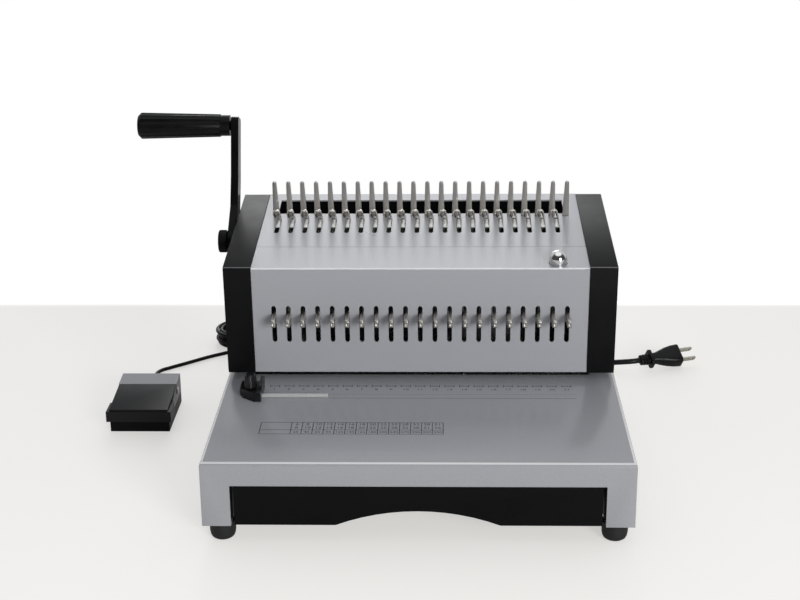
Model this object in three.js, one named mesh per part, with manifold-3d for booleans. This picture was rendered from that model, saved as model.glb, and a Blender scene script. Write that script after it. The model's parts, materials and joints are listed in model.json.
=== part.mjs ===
// Electric comb binding machine: a desktop punch with a comb opener on top, a side lever,
// a chip drawer under the paper table, a foot pedal on a thin lead and a mains lead.
// Millimetres. While modelling, X is to the right of the middle of the punch row, Y runs back from
// the front skirt and Z up from the surface that the feet stand on.
import * as THREE from 'three';
import { mergeVertices } from 'three/addons/utils/BufferGeometryUtils.js';
import Module from 'manifold-3d';

const wasm = await Module();
wasm.setup();

// Shared clearances
const seat = 0.3;            // gap between pieces that touch
const runGap = 0.4;          // gap beside pieces that slide or turn
const overrun = 5;           // how far a cutter runs past what it cuts
const weld = 0.001;          // vertices nearer than this are one

// Punch row
const holePitch = 14.2875;
const holeCount = 21;
const rowWidth = holePitch * holeCount;

// Base: folded steel table with front and side skirts
const baseBeside = 2.5;      // table past each end cap
const baseBehind = 3.5;      // table past the tower's rear wall
const tableHeight = 80;
const baseSheet = 1.5;
const baseBend = 3;
const skirtBottom = 18;
const legWidth = 26;
const frontRail = 22.5;      // skirt above the drawer opening
const footRadius = 11;
const footTaper = 1.6;
const footRound = 3;
const footInset = 16.4;      // foot centre in from the skirt's side
const footFront = 16;        // foot centre back from the front skirt, and in from the rear

// Tower: sloping front face, rising deck, sheet covers between two black caps
const faceBottomY = 192.4;
const faceBottomZ = 88.3;
const foldY = 185.2;
const foldZ = 198.7;
const deckRearY = 381.5;
const deckRearZ = 217.1;
const coverSheet = 1.5;
const coverBeside = 13.48;   // covers past each end of the punch row
const coverLip = 9;
const seamAlong = 52.4;      // fold to the seam between the two covers
const seamGap = 0.7;
const capWidth = 26.7;
const capProud = 1.2;
const capWall = 2.5;
const capLift = 6.5;         // cap above the table
const capFoldRound = 1.5;
const capRearRound = 5;
const capFootRound = 7;
const faceSlotWidth = 4.7;
const faceSlotTop = 159.4;
const faceSlotBottom = 120.5;

// Chassis inside the tower and under the table
const chassisSheet = 2;
const chassisFront = 12;
const chassisRearIn = 11;    // chassis ends inside the rear skirt
const towerFront = 206;      // front of the chassis above the table
const towerInset = 5;        // chassis in from the covers
const chassisSide = 1.3;     // chassis plate off the cap's inner edge
const runnerTop = 52.1;
const runnerSheet = 1.5;
const runnerReach = 7.3;
const crossLow = 96;
const crossHigh = 184;
const crossRearGap = 8;      // cross plate ahead of the covers' rear wall
const crossSheet = 2;

// Chip drawer
const drawerFrontSheet = 2.5;
const drawerSet = 2;         // drawer front behind the skirt's face
const drawerSideGap = 3;     // drawer front to each leg
const drawerTopGap = 0.6;
const trayWall = 1.5;
const trayFloor = 33;
const trayTop = 54;
const trayDepth = 243;
const trayFlange = 7;
const archWidth = 147;
const archHeight = 14;

// Die block and punch ram
const dieFront = 206;
const dieDepth = 26;
const dieBelow = 14;         // die block below and above the table's face
const dieAbove = 15;
const throatDepth = 15;
const throatHeight = 3.4;
const pinWidth = 8;
const pinThick = 3;
const pinBack = 10;          // pin's middle behind the die's front
const pinClear = 0.2;
const punchStroke = 20;
const ramFoot = 136;
const ramHeight = 25;
const ramDepth = 21;
const pinTipLift = 1;        // pin tips above the throat at rest
const yokeSpacing = 210;
const yokeSheet = 8;
const yokeWall = 6;
const yokeFree = 2.6;        // eccentric to the yoke's window, above and below

// Pull tabs that take single punches out of use
const pullThick = 1.8;
const pullHeight = 8.6;
const pullOut = 18;          // tab in front of the face
const pullInRam = 11;
const pullShift = 1;         // tab right of its slot's middle
const pullFoot = 143.4;
const pullPocketSpare = 4;

// Eccentric shaft and gear motor
const crankShaftRadius = 6.5;
const crankY = 252;
const crankZ = 155;
const crankThrow = 10;
const crankDiscRadius = 15;
const crankDiscWidth = 12;
const gearboxWidth = 34;
const gearboxFront = 233;
const gearboxDepth = 116;
const gearboxFoot = 98;
const gearboxHeight = 74;
const motorRadius = 27;
const motorLength = 108;
const motorY = 320;
const motorZ = 126;

// Comb opener: fixed fingers, sliding hooks, tray behind them
const fingerShift = -1.1;    // middle of the finger row
const fingerFootWidth = 5.7;
const fingerTipWidth = 3.2;
const fingerLength = 41;
const fingerThick = 2;
const fingerAlong = 135.5;   // fold to the fingers, along the deck
const fingerLean = 9.6;      // degrees forward of the deck's normal
const fingerRoot = 2.5;
const fingerStripWidth = 9;
const fingerStripSheet = 1.5;
const fingerStripSide = 10;  // strip past the first and last finger
const fingerHoleSpare = 0.6;
const hookShift = -4.4;      // middle of the hook row
const hookSlotWidth = 4.75;
const hookSlotFront = 88.7;
const hookSlotRear = 129.5;
const hookWidth = 4;
const hookFront = 104.7;
const hookRear = 126.5;
const hookSink = 0.6;        // hook's flat below the deck's face
const hookSheet = 2;
const hookPlateDrop = 4;     // top of the sliding plate below the deck's face
const hookWebFront = 129;
const hookWebRear = 139.6;
const hookArmFront = 104;
const hookArmWidth = 11;
const hookHeadRadius = 4.9;
const hookHeadBore = 2;
const hookHeadThick = 3.4;
const hookHeadEnd = 235;     // degrees from the neck round to the free end
const hookHeadLift = 7.3;    // head's middle above the deck
const hookHeadSide = 2.3;    // head's middle left of its slot
const hookHeadAlong = 121;
const combOpenInset = 1.27;  // opening ends inside the outer fingers' middles
const combOpenFront = 140.9;
const combOpenRear = 179.3;
const troughWall = 1.6;
const troughDepth = 12;
const troughLedge = 1.2;     // trough's wall past the opening

// Lever, its shaft and pinions
const shaftAlong = 113.5;    // fold to the lever's axis, along the deck
const shaftDrop = 19.4;      // axis below the deck's face
const shaftRadius = 6;
const gearModule = 1.25;
const pinionTeeth = 18;
const pinionWidth = 8;
const toothSlack = 0.4;
const pressureAngle = 20;    // degrees
const armThick = 8;
const armWidth = 21.6;
const armGap = 1.8;          // arm outside the cap
const armBossRadius = 10.6;
const armElbowBack = 27.4;   // front edge's first bend, behind and above the lever's axis
const armElbowUp = 30;
const armCrookBack = 40.9;   // its second bend
const armCrookUp = 54;
const armTipBack = 63.5;
const armTipUp = 117.1;
const armBendRound = 9;
const armTipRound = 4;
const gripInset = 8.5;       // grip's axis below the arm's end
const gripRadius = 14.1;
const gripNeckRadius = 12;
const gripLength = 90;
const gripFlute = 0.9;
const gripRound = 3.5;
const collarRadius = 11;
const collarLength = 7;
const gripGap = 1.8;         // grip off the arm
const spindleRadius = 5;
const spindleShort = 12;     // spindle ends before the grip's end
const leverKnobRadius = 10;
const leverKnobLength = 9;
const leverKnobRound = 2;

// Domed punch button on the deck's front strip
const buttonRadius = 8.8;
const buttonRise = 4;        // straight part above the deck
const buttonSkirt = 7;
const buttonAlong = 13;
const buttonX = 133.5;

// Edge guide on the table
const guideRailLeft = -172;
const guideRailRight = -89;
const guideRailWidth = 4.2;
const guideRailHeight = 3;
const guideRailY = 148;
const guideBlockLeft = -174;
const guideBlockRight = -152.6;
const guideBlockFront = 135.3;
const guideBlockRear = 166;
const guideBlockHeight = 9.2;
const guideNoseWidth = 7;
const guideNoseDepth = 12;
const guideFenceWidth = 3.6;
const guideFenceHeight = 11.7;
const guideFenceRear = 173;
const guideKnobX = -163.2;
const guideKnobFoot = 6.5;
const guideKnobTop = 5.4;
const guideKnobHeight = 14.5;
const guideKnobFlute = 0.6;
const guideKnobRound = 1.4;
const guideScrewRadius = 2.4;

// Rear panel with both cord entries and the mains switch
const panelHeight = 34;
const panelFoot = 28;
const panelSheet = 2.5;
const panelLeft = -172;
const panelRight = 152;
const panelMargin = 6;
const mainsEntryX = 130;
const pedalEntryX = -150;
const entryZ = 45;
const mainsReliefLength = 32;
const pedalReliefLength = 24;
const reliefTipShare = 1.25;
const reliefRootShare = 2.1;
const switchX = 60;
const switchWidth = 13;
const switchHeight = 19;
const switchDepth = 9;
const switchProud = 2.6;
const switchTilt = 7;        // degrees
const switchGap = 0.6;

// Foot pedal
const pedalX = -293.5;
const pedalY = 240;
const pedalWidth = 62;
const pedalDepth = 82;
const pedalBaseFront = 2.6;
const pedalBaseHeight = 12;
const pedalWall = 1.6;
const pedalTopRear = 33;
const pedalTopFront = 31.2;
const pedalCoverFront = 57;
const pedalSideFront = 6;
const pedalSideLow = 13.6;
const pedalSideHigh = 28.4;
const treadleSheet = 2.2;
const treadleFrontZ = 26.5;
const treadleSide = 0.6;     // treadle plate in from the body's side
const skirtSide = 2.8;       // treadle skirt out from the body's side
const skirtFrontY = -2.5;
const skirtWall = 1.5;
const skirtReach = 22;
const skirtLow = 13;
const skirtHigh = 24.4;
const pedalPinZ = 24;
const pedalPinRadius = 2.4;
const pedalPinHead = 3.8;
const pedalPinHeadLength = 1.6;
const pedalEar = 3;
const pedalEarInset = 4;
const pedalEarRadius = 4.4;
const pedalExitZ = 6;
const pedalReliefRoot = 4.6;
const pedalReliefTip = 3;
const pedalTail = 20;

// Cords
const mainsDiameter = 6;
const mainsCoilRadius = 31.5;
const mainsCoilX = 60;
const mainsCoilY = 472;
const pedalDiameter = 4.2;
const pedalCoilRadius = 24;
const pedalCoilX = -219;
const pedalCoilY = 503;
const turnGap = 0.6;         // between turns of a coil

// Mains plug
const plugLength = 38;
const plugNeck = 11;
const plugFlange = 6;
const plugWidth = 24;
const plugThick = 15;
const plugNeckWidth = 15;
const plugNeckThick = 11;
const plugFlangeWidth = 20;
const plugFlangeThick = 14.5;
const plugRound = 4;
const plugX = 244.8;
const plugY = 414.5;
const plugYaw = 19.4;        // degrees
const plugTilt = 55;         // degrees
const plugLift = 0.2;        // lowest edge above the floor
const prongLength = 18;
const prongHeight = 6.4;
const prongThick = 1.6;
const prongSpacing = 12.7;
const prongHole = 1.6;
const prongHoleInset = 4;

// Counts of facets
const sidesRod = 16;
const sidesFine = 24;
const cornerSteps = 2;
const arcSteps = 12;
const hookArcSteps = 6;
const slotSteps = 3;         // along each round end
const cordSides = 8;
const coilSides = 5;
const coilSteps = 22;
const coilLayers = 4;

// Materials
const paint = (color, roughness, metalness) => new THREE.MeshStandardMaterial({ color, roughness, metalness });
const silverPaint = paint(0xa9abae, 0.42, 0.35);
const blackPlastic = paint(0x1b1b1d, 0.5, 0);
const blackEnamel = paint(0x161618, 0.45, 0.1);
const chrome = paint(0xd8d8d6, 0.15, 1);
const satinSteel = paint(0x8d8a86, 0.35, 1);
const plainSteel = paint(0x9a9a9a, 0.4, 1);
const rubber = paint(0x121212, 0.85, 0);
const greyPaint = paint(0x77787c, 0.5, 0.2);
const motorPaint = paint(0x55585c, 0.5, 0.4);

// Solids from outlines and boxes
function toSolid(geometry) {
  const bare = geometry.clone();
  bare.deleteAttribute('normal');
  bare.deleteAttribute('uv');
  const merged = mergeVertices(bare, weld);
  return new wasm.Manifold(new wasm.Mesh({
    numProp: 3,
    vertProperties: new Float32Array(merged.attributes.position.array),
    triVerts: new Uint32Array(merged.index.array),
  }));
}

function toGeometry(solid) {
  const mesh = solid.getMesh();
  const geometry = new THREE.BufferGeometry();
  geometry.setAttribute('position', new THREE.BufferAttribute(new Float32Array(mesh.vertProperties), 3));
  geometry.setIndex(new THREE.BufferAttribute(new Uint32Array(mesh.triVerts), 1));
  return geometry;
}

function join(...geometries) {
  return toGeometry(geometries.map(toSolid).reduce((whole, piece) => whole.add(piece)));
}

function cut(geometry, ...cutters) {
  return toGeometry(cutters.map(toSolid).reduce((whole, piece) => whole.subtract(piece), toSolid(geometry)));
}

function common(first, second) {
  return toGeometry(toSolid(first).intersect(toSolid(second)));
}

function box(x0, x1, y0, y1, z0, z1) {
  const geometry = new THREE.BoxGeometry(x1 - x0, y1 - y0, z1 - z0);
  return geometry.translate((x0 + x1) / 2, (y0 + y1) / 2, (z0 + z1) / 2);
}

function extrude(points, depth) {
  const shape = new THREE.Shape(points.map(([u, v]) => new THREE.Vector2(u, v)));
  return new THREE.ExtrudeGeometry(shape, { depth, bevelEnabled: false, steps: 1 });
}

// Outline in (y, z), carried from x0 to x1
function prismX(points, x0, x1) {
  const turn = new THREE.Matrix4().makeBasis(
    new THREE.Vector3(0, 1, 0), new THREE.Vector3(0, 0, 1), new THREE.Vector3(1, 0, 0));
  return extrude(points, x1 - x0).applyMatrix4(turn).translate(x0, 0, 0);
}

// Outline in (x, z), carried from y0 to y1
function prismY(points, y0, y1) {
  const turn = new THREE.Matrix4().makeBasis(
    new THREE.Vector3(1, 0, 0), new THREE.Vector3(0, 0, 1), new THREE.Vector3(0, -1, 0));
  return extrude(points, y1 - y0).applyMatrix4(turn).translate(0, y1, 0);
}

// Outline in (x, y), carried from z0 to z1
function prismZ(points, z0, z1) {
  return extrude(points, z1 - z0).translate(0, 0, z0);
}

function rodX(x0, x1, y, z, radius, sides = sidesRod) {
  const geometry = new THREE.CylinderGeometry(radius, radius, x1 - x0, sides);
  return geometry.rotateZ(-Math.PI / 2).translate((x0 + x1) / 2, y, z);
}

function rodY(y0, y1, x, z, radius, sides = sidesRod) {
  const geometry = new THREE.CylinderGeometry(radius, radius, y1 - y0, sides);
  return geometry.translate(x, (y0 + y1) / 2, z);
}

function rodZ(z0, z1, x, y, radius, sides = sidesRod) {
  const geometry = new THREE.CylinderGeometry(radius, radius, z1 - z0, sides);
  return geometry.rotateX(Math.PI / 2).translate(x, y, (z0 + z1) / 2);
}

// Turned solid about Z from a profile of [radius, height]
function turned(profile, sides = sidesRod) {
  const geometry = new THREE.LatheGeometry(profile.map(([r, z]) => new THREE.Vector2(r, z)), sides);
  return geometry.rotateX(Math.PI / 2);
}

// Closed outline with each corner replaced by an arc of its own radius
function rounded(points, radii, steps = cornerSteps) {
  const out = [];
  points.forEach(([u, v], i) => {
    const radius = Array.isArray(radii) ? radii[i] : radii;
    const here = new THREE.Vector2(u, v);
    if (radius === 0) {
      out.push([u, v]);
      return;
    }
    const before = new THREE.Vector2(...points[(i + points.length - 1) % points.length]).sub(here).normalize();
    const after = new THREE.Vector2(...points[(i + 1) % points.length]).sub(here).normalize();
    const half = Math.acos(THREE.MathUtils.clamp(before.dot(after), -1, 1)) / 2;
    const middle = before.clone().add(after).normalize().multiplyScalar(radius / Math.sin(half)).add(here);
    const from = before.clone().multiplyScalar(radius / Math.tan(half)).add(here).sub(middle);
    const sweep = Math.PI - 2 * half;
    const side = Math.sign(before.x * after.y - before.y * after.x);
    for (let k = 0; k <= steps; k += 1) {
      const point = from.clone().rotateAround(new THREE.Vector2(), side * -sweep * (k / steps)).add(middle);
      out.push([point.x, point.y]);
    }
  });
  return out;
}

// Outline of a bent sheet: an open line and its copy, set off to its right by the thickness
function bentSheet(line, thickness) {
  const normals = line.slice(1).map(([u, v], i) => {
    const along = new THREE.Vector2(u - line[i][0], v - line[i][1]).normalize();
    return new THREE.Vector2(along.y, -along.x);
  });
  const inner = line.map(([u, v], i) => {
    const first = normals[Math.max(i - 1, 0)];
    const last = normals[Math.min(i, normals.length - 1)];
    const mitre = first.clone().add(last).normalize();
    const reach = thickness / mitre.dot(last);
    return [u + mitre.x * reach, v + mitre.y * reach];
  });
  return [...line, ...inner.reverse()];
}

// Closed outline, walked clockwise in (y, z), moved outwards by a distance
function offset(points, distance) {
  return points.map(([u, v], i) => {
    const [pu, pv] = points[(i + points.length - 1) % points.length];
    const [nu, nv] = points[(i + 1) % points.length];
    const before = new THREE.Vector2(u - pu, v - pv).normalize();
    const after = new THREE.Vector2(nu - u, nv - v).normalize();
    const outBefore = new THREE.Vector2(-before.y, before.x);
    const outAfter = new THREE.Vector2(-after.y, after.x);
    const mitre = outBefore.clone().add(outAfter).normalize();
    const reach = distance / mitre.dot(outAfter);
    return [u + mitre.x * reach, v + mitre.y * reach];
  });
}

// Slot with round ends, tall in v
function stadium(u, low, high, width, steps = slotSteps) {
  const radius = width / 2;
  const points = [];
  for (let k = 0; k <= steps; k += 1) {
    const angle = Math.PI * (k / steps);
    points.push([u + radius * Math.cos(angle), high - radius + radius * Math.sin(angle)]);
  }
  for (let k = 0; k <= steps; k += 1) {
    const angle = Math.PI * (1 + k / steps);
    points.push([u + radius * Math.cos(angle), low + radius + radius * Math.sin(angle)]);
  }
  return points;
}

// Round bar whose radius ripples around its axis, tapered from one end to the other, along Z
function flutedBar(length, radius0, radius1, flute, count, round) {
  const rings = [
    [0, (radius0 - round) / radius0, false],
    [round, 1, true],
    [length - round, 1, true],
    [length, (radius1 - round) / radius1, false],
  ];
  const around = count * 2;
  const positions = [];
  const faces = [];
  rings.forEach(([z, share, ripple]) => {
    const radius = (radius0 + (radius1 - radius0) * (z / length)) * share;
    for (let k = 0; k < around; k += 1) {
      const angle = (2 * Math.PI * k) / around;
      const reach = radius - (ripple && k % 2 === 1 ? flute : 0);
      positions.push(reach * Math.cos(angle), reach * Math.sin(angle), z);
    }
  });
  for (let i = 0; i < rings.length - 1; i += 1) {
    for (let k = 0; k < around; k += 1) {
      const a = i * around + k;
      const b = i * around + ((k + 1) % around);
      faces.push(a, b, b + around, a, b + around, a + around);
    }
  }
  const last = (rings.length - 1) * around;
  for (let k = 1; k < around - 1; k += 1) {
    faces.push(0, k + 1, k);
    faces.push(last, last + k, last + k + 1);
  }
  const geometry = new THREE.BufferGeometry();
  geometry.setAttribute('position', new THREE.Float32BufferAttribute(positions, 3));
  geometry.setIndex(faces);
  return geometry;
}

const group = new THREE.Group();

function add(name, geometry, material, parent = group) {
  const mesh = new THREE.Mesh(geometry, material);
  mesh.name = name;
  parent.add(mesh);
  return mesh;
}

// Deck frame: X across, Y along the deck from the fold, Z out of the deck's face
const deckSlope = Math.atan2(deckRearZ - foldZ, deckRearY - foldY);
const deckLength = Math.hypot(deckRearZ - foldZ, deckRearY - foldY);
const deck = new THREE.Group();
deck.position.set(0, foldY, foldZ);
deck.rotation.x = deckSlope;
group.add(deck);

function deckPoint(along, lift) {
  return [
    foldY + along * Math.cos(deckSlope) - lift * Math.sin(deckSlope),
    foldZ + along * Math.sin(deckSlope) + lift * Math.cos(deckSlope),
  ];
}

function onDeck(geometry) {
  return geometry.rotateX(deckSlope).translate(0, foldY, foldZ);
}

const holeX = (k) => (k - (holeCount - 1) / 2) * holePitch;
const halfCover = rowWidth / 2 + coverBeside;
const capInner = halfCover + seat;
const capOuter = capInner + capWidth;
const halfBase = capOuter + baseBeside;
const baseDepth = deckRearY + baseBehind;
const chassisRear = baseDepth - chassisRearIn;
const chassisInner = capInner + capProud + chassisSide;
const chassisOuter = chassisInner + chassisSheet;
const towerFoot = tableHeight + capLift;

// Base cover: one folded sheet with in-turned lips for the feet, cut open for drawer and tower
function baseCover() {
  const front = (inset) => rounded([
    [inset, skirtBottom - (inset ? overrun : 0)],
    [inset, tableHeight - inset],
    [baseDepth - inset, tableHeight - inset],
    [baseDepth - inset, skirtBottom - (inset ? overrun : 0)],
  ], [0, baseBend, baseBend, 0]);
  const side = (inset) => rounded([
    [-halfBase + inset, skirtBottom - (inset ? overrun : 0)],
    [-halfBase + inset, tableHeight - inset],
    [halfBase - inset, tableHeight - inset],
    [halfBase - inset, skirtBottom - (inset ? overrun : 0)],
  ], [0, baseBend, baseBend, 0]);
  const whole = common(prismX(front(0), -halfBase, halfBase), prismY(side(0), 0, baseDepth));
  const hollow = common(
    prismX(front(baseSheet), -halfBase + baseSheet, halfBase - baseSheet),
    prismY(side(baseSheet), baseSheet, baseDepth - baseSheet));
  const lipInner = halfBase - legWidth;
  const lips = [-1, 1].map((hand) => box(
    Math.min(hand * lipInner, hand * (halfBase - baseSheet / 2)),
    Math.max(hand * lipInner, hand * (halfBase - baseSheet / 2)),
    baseSheet / 2, baseDepth - baseSheet / 2, skirtBottom, skirtBottom + baseSheet));
  const drawerOpening = box(-lipInner, lipInner, -overrun, baseSheet + overrun,
    skirtBottom - overrun, tableHeight - frontRail);
  const towerOpening = box(-chassisOuter - seat, chassisOuter + seat,
    dieFront - seat, chassisRear + seat, tableHeight - baseSheet - overrun, tableHeight + overrun);
  const panelOpening = box(panelLeft + panelMargin, panelRight - panelMargin,
    baseDepth - baseSheet - overrun, baseDepth + overrun,
    panelFoot + panelMargin, panelFoot + panelHeight - panelMargin);
  const shell = cut(whole, hollow);
  return cut(join(shell, ...lips), drawerOpening, towerOpening, panelOpening);
}
add('base_cover', baseCover(), silverPaint);

// Feet: tapered rubber, rounded below
function foot() {
  const top = skirtBottom - seat;
  return turned([
    [0, 0],
    [footRadius - footTaper - footRound, 0],
    [footRadius - footTaper, footRound],
    [footRadius, top],
    [0, top],
  ]);
}
[['front', footFront], ['rear', baseDepth - footFront]].forEach(([end, y]) => {
  [['left', -1], ['right', 1]].forEach(([hand, sign]) => {
    add(`foot_${end}_${hand}`, foot(), rubber).position.set(sign * (halfBase - footInset), y, 0);
  });
});

// Lines that the covers, caps and chassis share, clockwise in (y, z)
const foldPoint = [foldY, foldZ];
const rearPoint = [deckRearY, deckRearZ];
const faceFoot = [
  faceBottomY + (faceBottomY - foldY) * ((faceBottomZ - towerFoot) / (foldZ - faceBottomZ)),
  towerFoot,
];
const towerLine = [faceFoot, foldPoint, rearPoint, [deckRearY, towerFoot]];

// Front cover: sloping face with a slot for each punch, folded back to the seam
function frontCover() {
  const line = [
    [faceBottomY + coverLip, faceBottomZ],
    [faceBottomY, faceBottomZ],
    foldPoint,
    deckPoint(seamAlong, 0),
  ];
  const sheet = prismX(bentSheet(line, coverSheet), -halfCover, halfCover);
  const slots = Array.from({ length: holeCount }, (_, k) => prismY(
    stadium(holeX(k), faceSlotBottom, faceSlotTop, faceSlotWidth),
    foldY - overrun, faceBottomY + overrun));
  const buttonHole = onDeck(rodZ(-overrun, overrun, buttonX, buttonAlong, buttonRadius + runGap));
  return cut(sheet, ...slots, buttonHole);
}
add('front_cover', frontCover(), silverPaint);

// Deck cover: deck behind the seam and rear wall in one sheet
const fingerX = (k) => fingerShift - rowWidth / 2 + k * holePitch;
const combOpenHalf = rowWidth / 2 - combOpenInset;
const hookX = (k) => hookShift + holeX(k);
const fingerCount = holeCount + 1;
const leanRadians = THREE.MathUtils.degToRad(fingerLean);

function deckCover() {
  const line = [
    deckPoint(seamAlong + seamGap, 0),
    rearPoint,
    [deckRearY, towerFoot],
    [deckRearY - coverLip, towerFoot],
  ];
  const sheet = prismX(bentSheet(line, coverSheet), -halfCover, halfCover);
  const through = (geometry) => onDeck(geometry);
  const slots = Array.from({ length: holeCount }, (_, k) => through(prismZ(
    stadium(hookX(k), hookSlotFront, hookSlotRear, hookSlotWidth), -overrun, overrun)));
  const footSpan = fingerThick / 2 + fingerHoleSpare;
  const sway = coverSheet * Math.tan(leanRadians);
  const fingerHoles = Array.from({ length: fingerCount }, (_, k) => through(box(
    fingerX(k) - fingerFootWidth / 2 - fingerHoleSpare, fingerX(k) + fingerFootWidth / 2 + fingerHoleSpare,
    fingerAlong - footSpan - sway, fingerAlong + footSpan + sway, -overrun, overrun)));
  const opening = through(box(
    fingerShift - combOpenHalf, fingerShift + combOpenHalf,
    combOpenFront, combOpenRear, -overrun, overrun));
  return cut(sheet, ...slots, ...fingerHoles, opening);
}
add('deck_cover', deckCover(), silverPaint);

// End caps: moulded shells, a little proud of the sheet covers
const shaftPoint = deckPoint(shaftAlong, -shaftDrop);

function endCap(hand) {
  const radii = [capFootRound, capFoldRound, capRearRound, capFootRound];
  const outer = rounded(offset(towerLine, capProud), radii);
  const open = offset(towerLine, capProud - capWall);
  open[0][1] -= capWall + overrun;
  open[3][1] -= capWall + overrun;
  const inner = rounded(open, [0, capFoldRound, capRearRound, 0]);
  const span = (x0, x1) => [Math.min(hand * x0, hand * x1), Math.max(hand * x0, hand * x1)];
  const shell = cut(
    prismX(outer, ...span(capInner, capOuter)),
    prismX(inner, ...span(capInner - overrun, capOuter - capWall)));
  if (hand > 0) {
    return shell;
  }
  return cut(shell, rodX(...span(capOuter - capWall - overrun, capOuter + overrun), ...shaftPoint,
    shaftRadius + runGap));
}
add('end_cap_left', endCap(-1), blackPlastic);
add('end_cap_right', endCap(1), blackPlastic);

// Chassis: two steel side plates with drawer runners, tied by a cross plate behind
function chassis() {
  const lowFoot = skirtBottom + baseSheet + seat;
  const lowTop = tableHeight - baseSheet - seat;
  const crown = offset(towerLine, -towerInset);
  const slopeAt = (y) => crown[1][1] + ((y - crown[1][0]) * (deckRearZ - foldZ)) / (deckRearY - foldY);
  const outline = [
    [chassisFront, lowFoot],
    [chassisFront, lowTop],
    [towerFront, lowTop],
    [towerFront, slopeAt(towerFront)],
    [chassisRear, slopeAt(chassisRear)],
    [chassisRear, lowFoot],
  ];
  const shaftBore = (x0, x1) => rodX(x0, x1, ...shaftPoint, shaftRadius + runGap);
  const crankBore = (x0, x1) => rodX(x0, x1, crankY, crankZ, crankShaftRadius + runGap);
  const plates = [-1, 1].map((hand) => {
    const x0 = Math.min(hand * chassisInner, hand * chassisOuter);
    const x1 = Math.max(hand * chassisInner, hand * chassisOuter);
    return cut(prismX(outline, x0, x1), shaftBore(x0 - overrun, x1 + overrun),
      crankBore(x0 - overrun, x1 + overrun));
  });
  const runners = [-1, 1].map((hand) => box(
    Math.min(hand * (chassisInner - runnerReach), hand * (chassisInner + chassisSheet / 2)),
    Math.max(hand * (chassisInner - runnerReach), hand * (chassisInner + chassisSheet / 2)),
    chassisFront, chassisRear, runnerTop - runnerSheet, runnerTop));
  const crossRear = deckRearY - coverSheet - crossRearGap;
  const cross = box(-chassisInner - chassisSheet / 2, chassisInner + chassisSheet / 2,
    crossRear - crossSheet, crossRear, crossLow, crossHigh);
  return join(...plates, ...runners, cross);
}
add('chassis_frame', chassis(), plainSteel);

// Chip drawer: hanging tray with a deeper front that is arched for the fingers
function chipDrawer() {
  const frontHalf = halfBase - legWidth - drawerSideGap;
  const top = tableHeight - frontRail - drawerTopGap;
  const low = skirtBottom + seat;
  const radius = (archWidth * archWidth / 4 + archHeight * archHeight) / (2 * archHeight);
  const half = Math.asin(archWidth / 2 / radius);
  const arch = Array.from({ length: arcSteps + 1 }, (_, k) => {
    const angle = half * (1 - (2 * k) / arcSteps);
    return [radius * Math.sin(angle), low + archHeight - radius + radius * Math.cos(angle)];
  });
  const plate = prismY([[-frontHalf, low], [-frontHalf, top], [frontHalf, top], [frontHalf, low], ...arch],
    drawerSet, drawerSet + drawerFrontSheet);
  const trayHalf = chassisInner - runnerReach - seat;
  const back = drawerSet + trayDepth;
  const inFront = drawerSet + drawerFrontSheet / 2;
  const outer = box(-trayHalf, trayHalf, inFront, back, trayFloor, trayTop);
  const inner = box(-trayHalf + trayWall, trayHalf - trayWall, drawerSet + drawerFrontSheet, back - trayWall,
    trayFloor + trayWall, trayTop + overrun);
  const flangeLow = runnerTop + seat;
  const flanges = box(-trayHalf - trayFlange + seat, trayHalf + trayFlange - seat,
    chassisFront, back, flangeLow, trayTop);
  return join(plate, cut(join(outer, flanges), inner));
}
add('chip_drawer', chipDrawer(), blackEnamel);

// Die block: two plates with a throat for the paper and a hole for each punch
const pinY = dieFront + pinBack;
const throatFoot = tableHeight - seat;
const dieFoot = tableHeight - dieBelow;
const dieTop = tableHeight + dieAbove;

function dieBlock() {
  const half = chassisInner - seat;
  const block = box(-half, half, dieFront, dieFront + dieDepth, dieFoot, dieTop);
  const throat = box(-half - overrun, half + overrun, dieFront - overrun, dieFront + throatDepth,
    throatFoot, throatFoot + throatHeight);
  const holes = Array.from({ length: holeCount }, (_, k) => box(
    holeX(k) - pinWidth / 2 - pinClear, holeX(k) + pinWidth / 2 + pinClear,
    pinY - pinThick / 2 - pinClear, pinY + pinThick / 2 + pinClear,
    dieFoot - overrun, dieTop + overrun));
  return cut(block, throat, ...holes);
}
add('die_block', dieBlock(), plainSteel);

// Punch ram: bar with its punches, a pocket for each pull tab, and two yokes for the eccentrics
const ramFront = pinY - ramDepth / 2;
const ramRear = pinY + ramDepth / 2;
const pinTip = throatFoot + throatHeight + pinTipLift;

function punchRam() {
  const half = chassisInner - runGap;
  const bar = box(-half, half, ramFront, ramRear, ramFoot, ramFoot + ramHeight);
  const pins = Array.from({ length: holeCount }, (_, k) => box(
    holeX(k) - pinWidth / 2, holeX(k) + pinWidth / 2, pinY - pinThick / 2, pinY + pinThick / 2,
    pinTip, ramFoot + ramHeight / 4));
  const pockets = Array.from({ length: holeCount }, (_, k) => box(
    holeX(k) + pullShift - pullThick / 2 - runGap, holeX(k) + pullShift + pullThick / 2 + runGap,
    ramFront - overrun, ramFront + pullInRam + pullPocketSpare,
    pullFoot - runGap, pullFoot + pullHeight + runGap));
  const windowHalfY = crankDiscRadius + crankThrow + yokeFree;
  const windowHalfZ = crankDiscRadius + yokeFree;
  const discZ = crankZ + crankThrow;
  const yokes = [-1, 1].map((hand) => {
    const x0 = hand * yokeSpacing / 2 - yokeSheet / 2;
    const x1 = x0 + yokeSheet;
    const frame = box(x0, x1, Math.min(ramRear - yokeWall, crankY - windowHalfY - yokeWall),
      crankY + windowHalfY + yokeWall, discZ - windowHalfZ - yokeWall, discZ + windowHalfZ + yokeWall);
    return frame;
  });
  const windows = [-1, 1].map((hand) => box(
    hand * yokeSpacing / 2 - yokeSheet, hand * yokeSpacing / 2 + yokeSheet,
    crankY - windowHalfY, crankY + windowHalfY, discZ - windowHalfZ, discZ + windowHalfZ));
  return cut(join(bar, ...pins, ...yokes), ...pockets, ...windows);
}
add('punch_ram', punchRam(), plainSteel);

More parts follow.
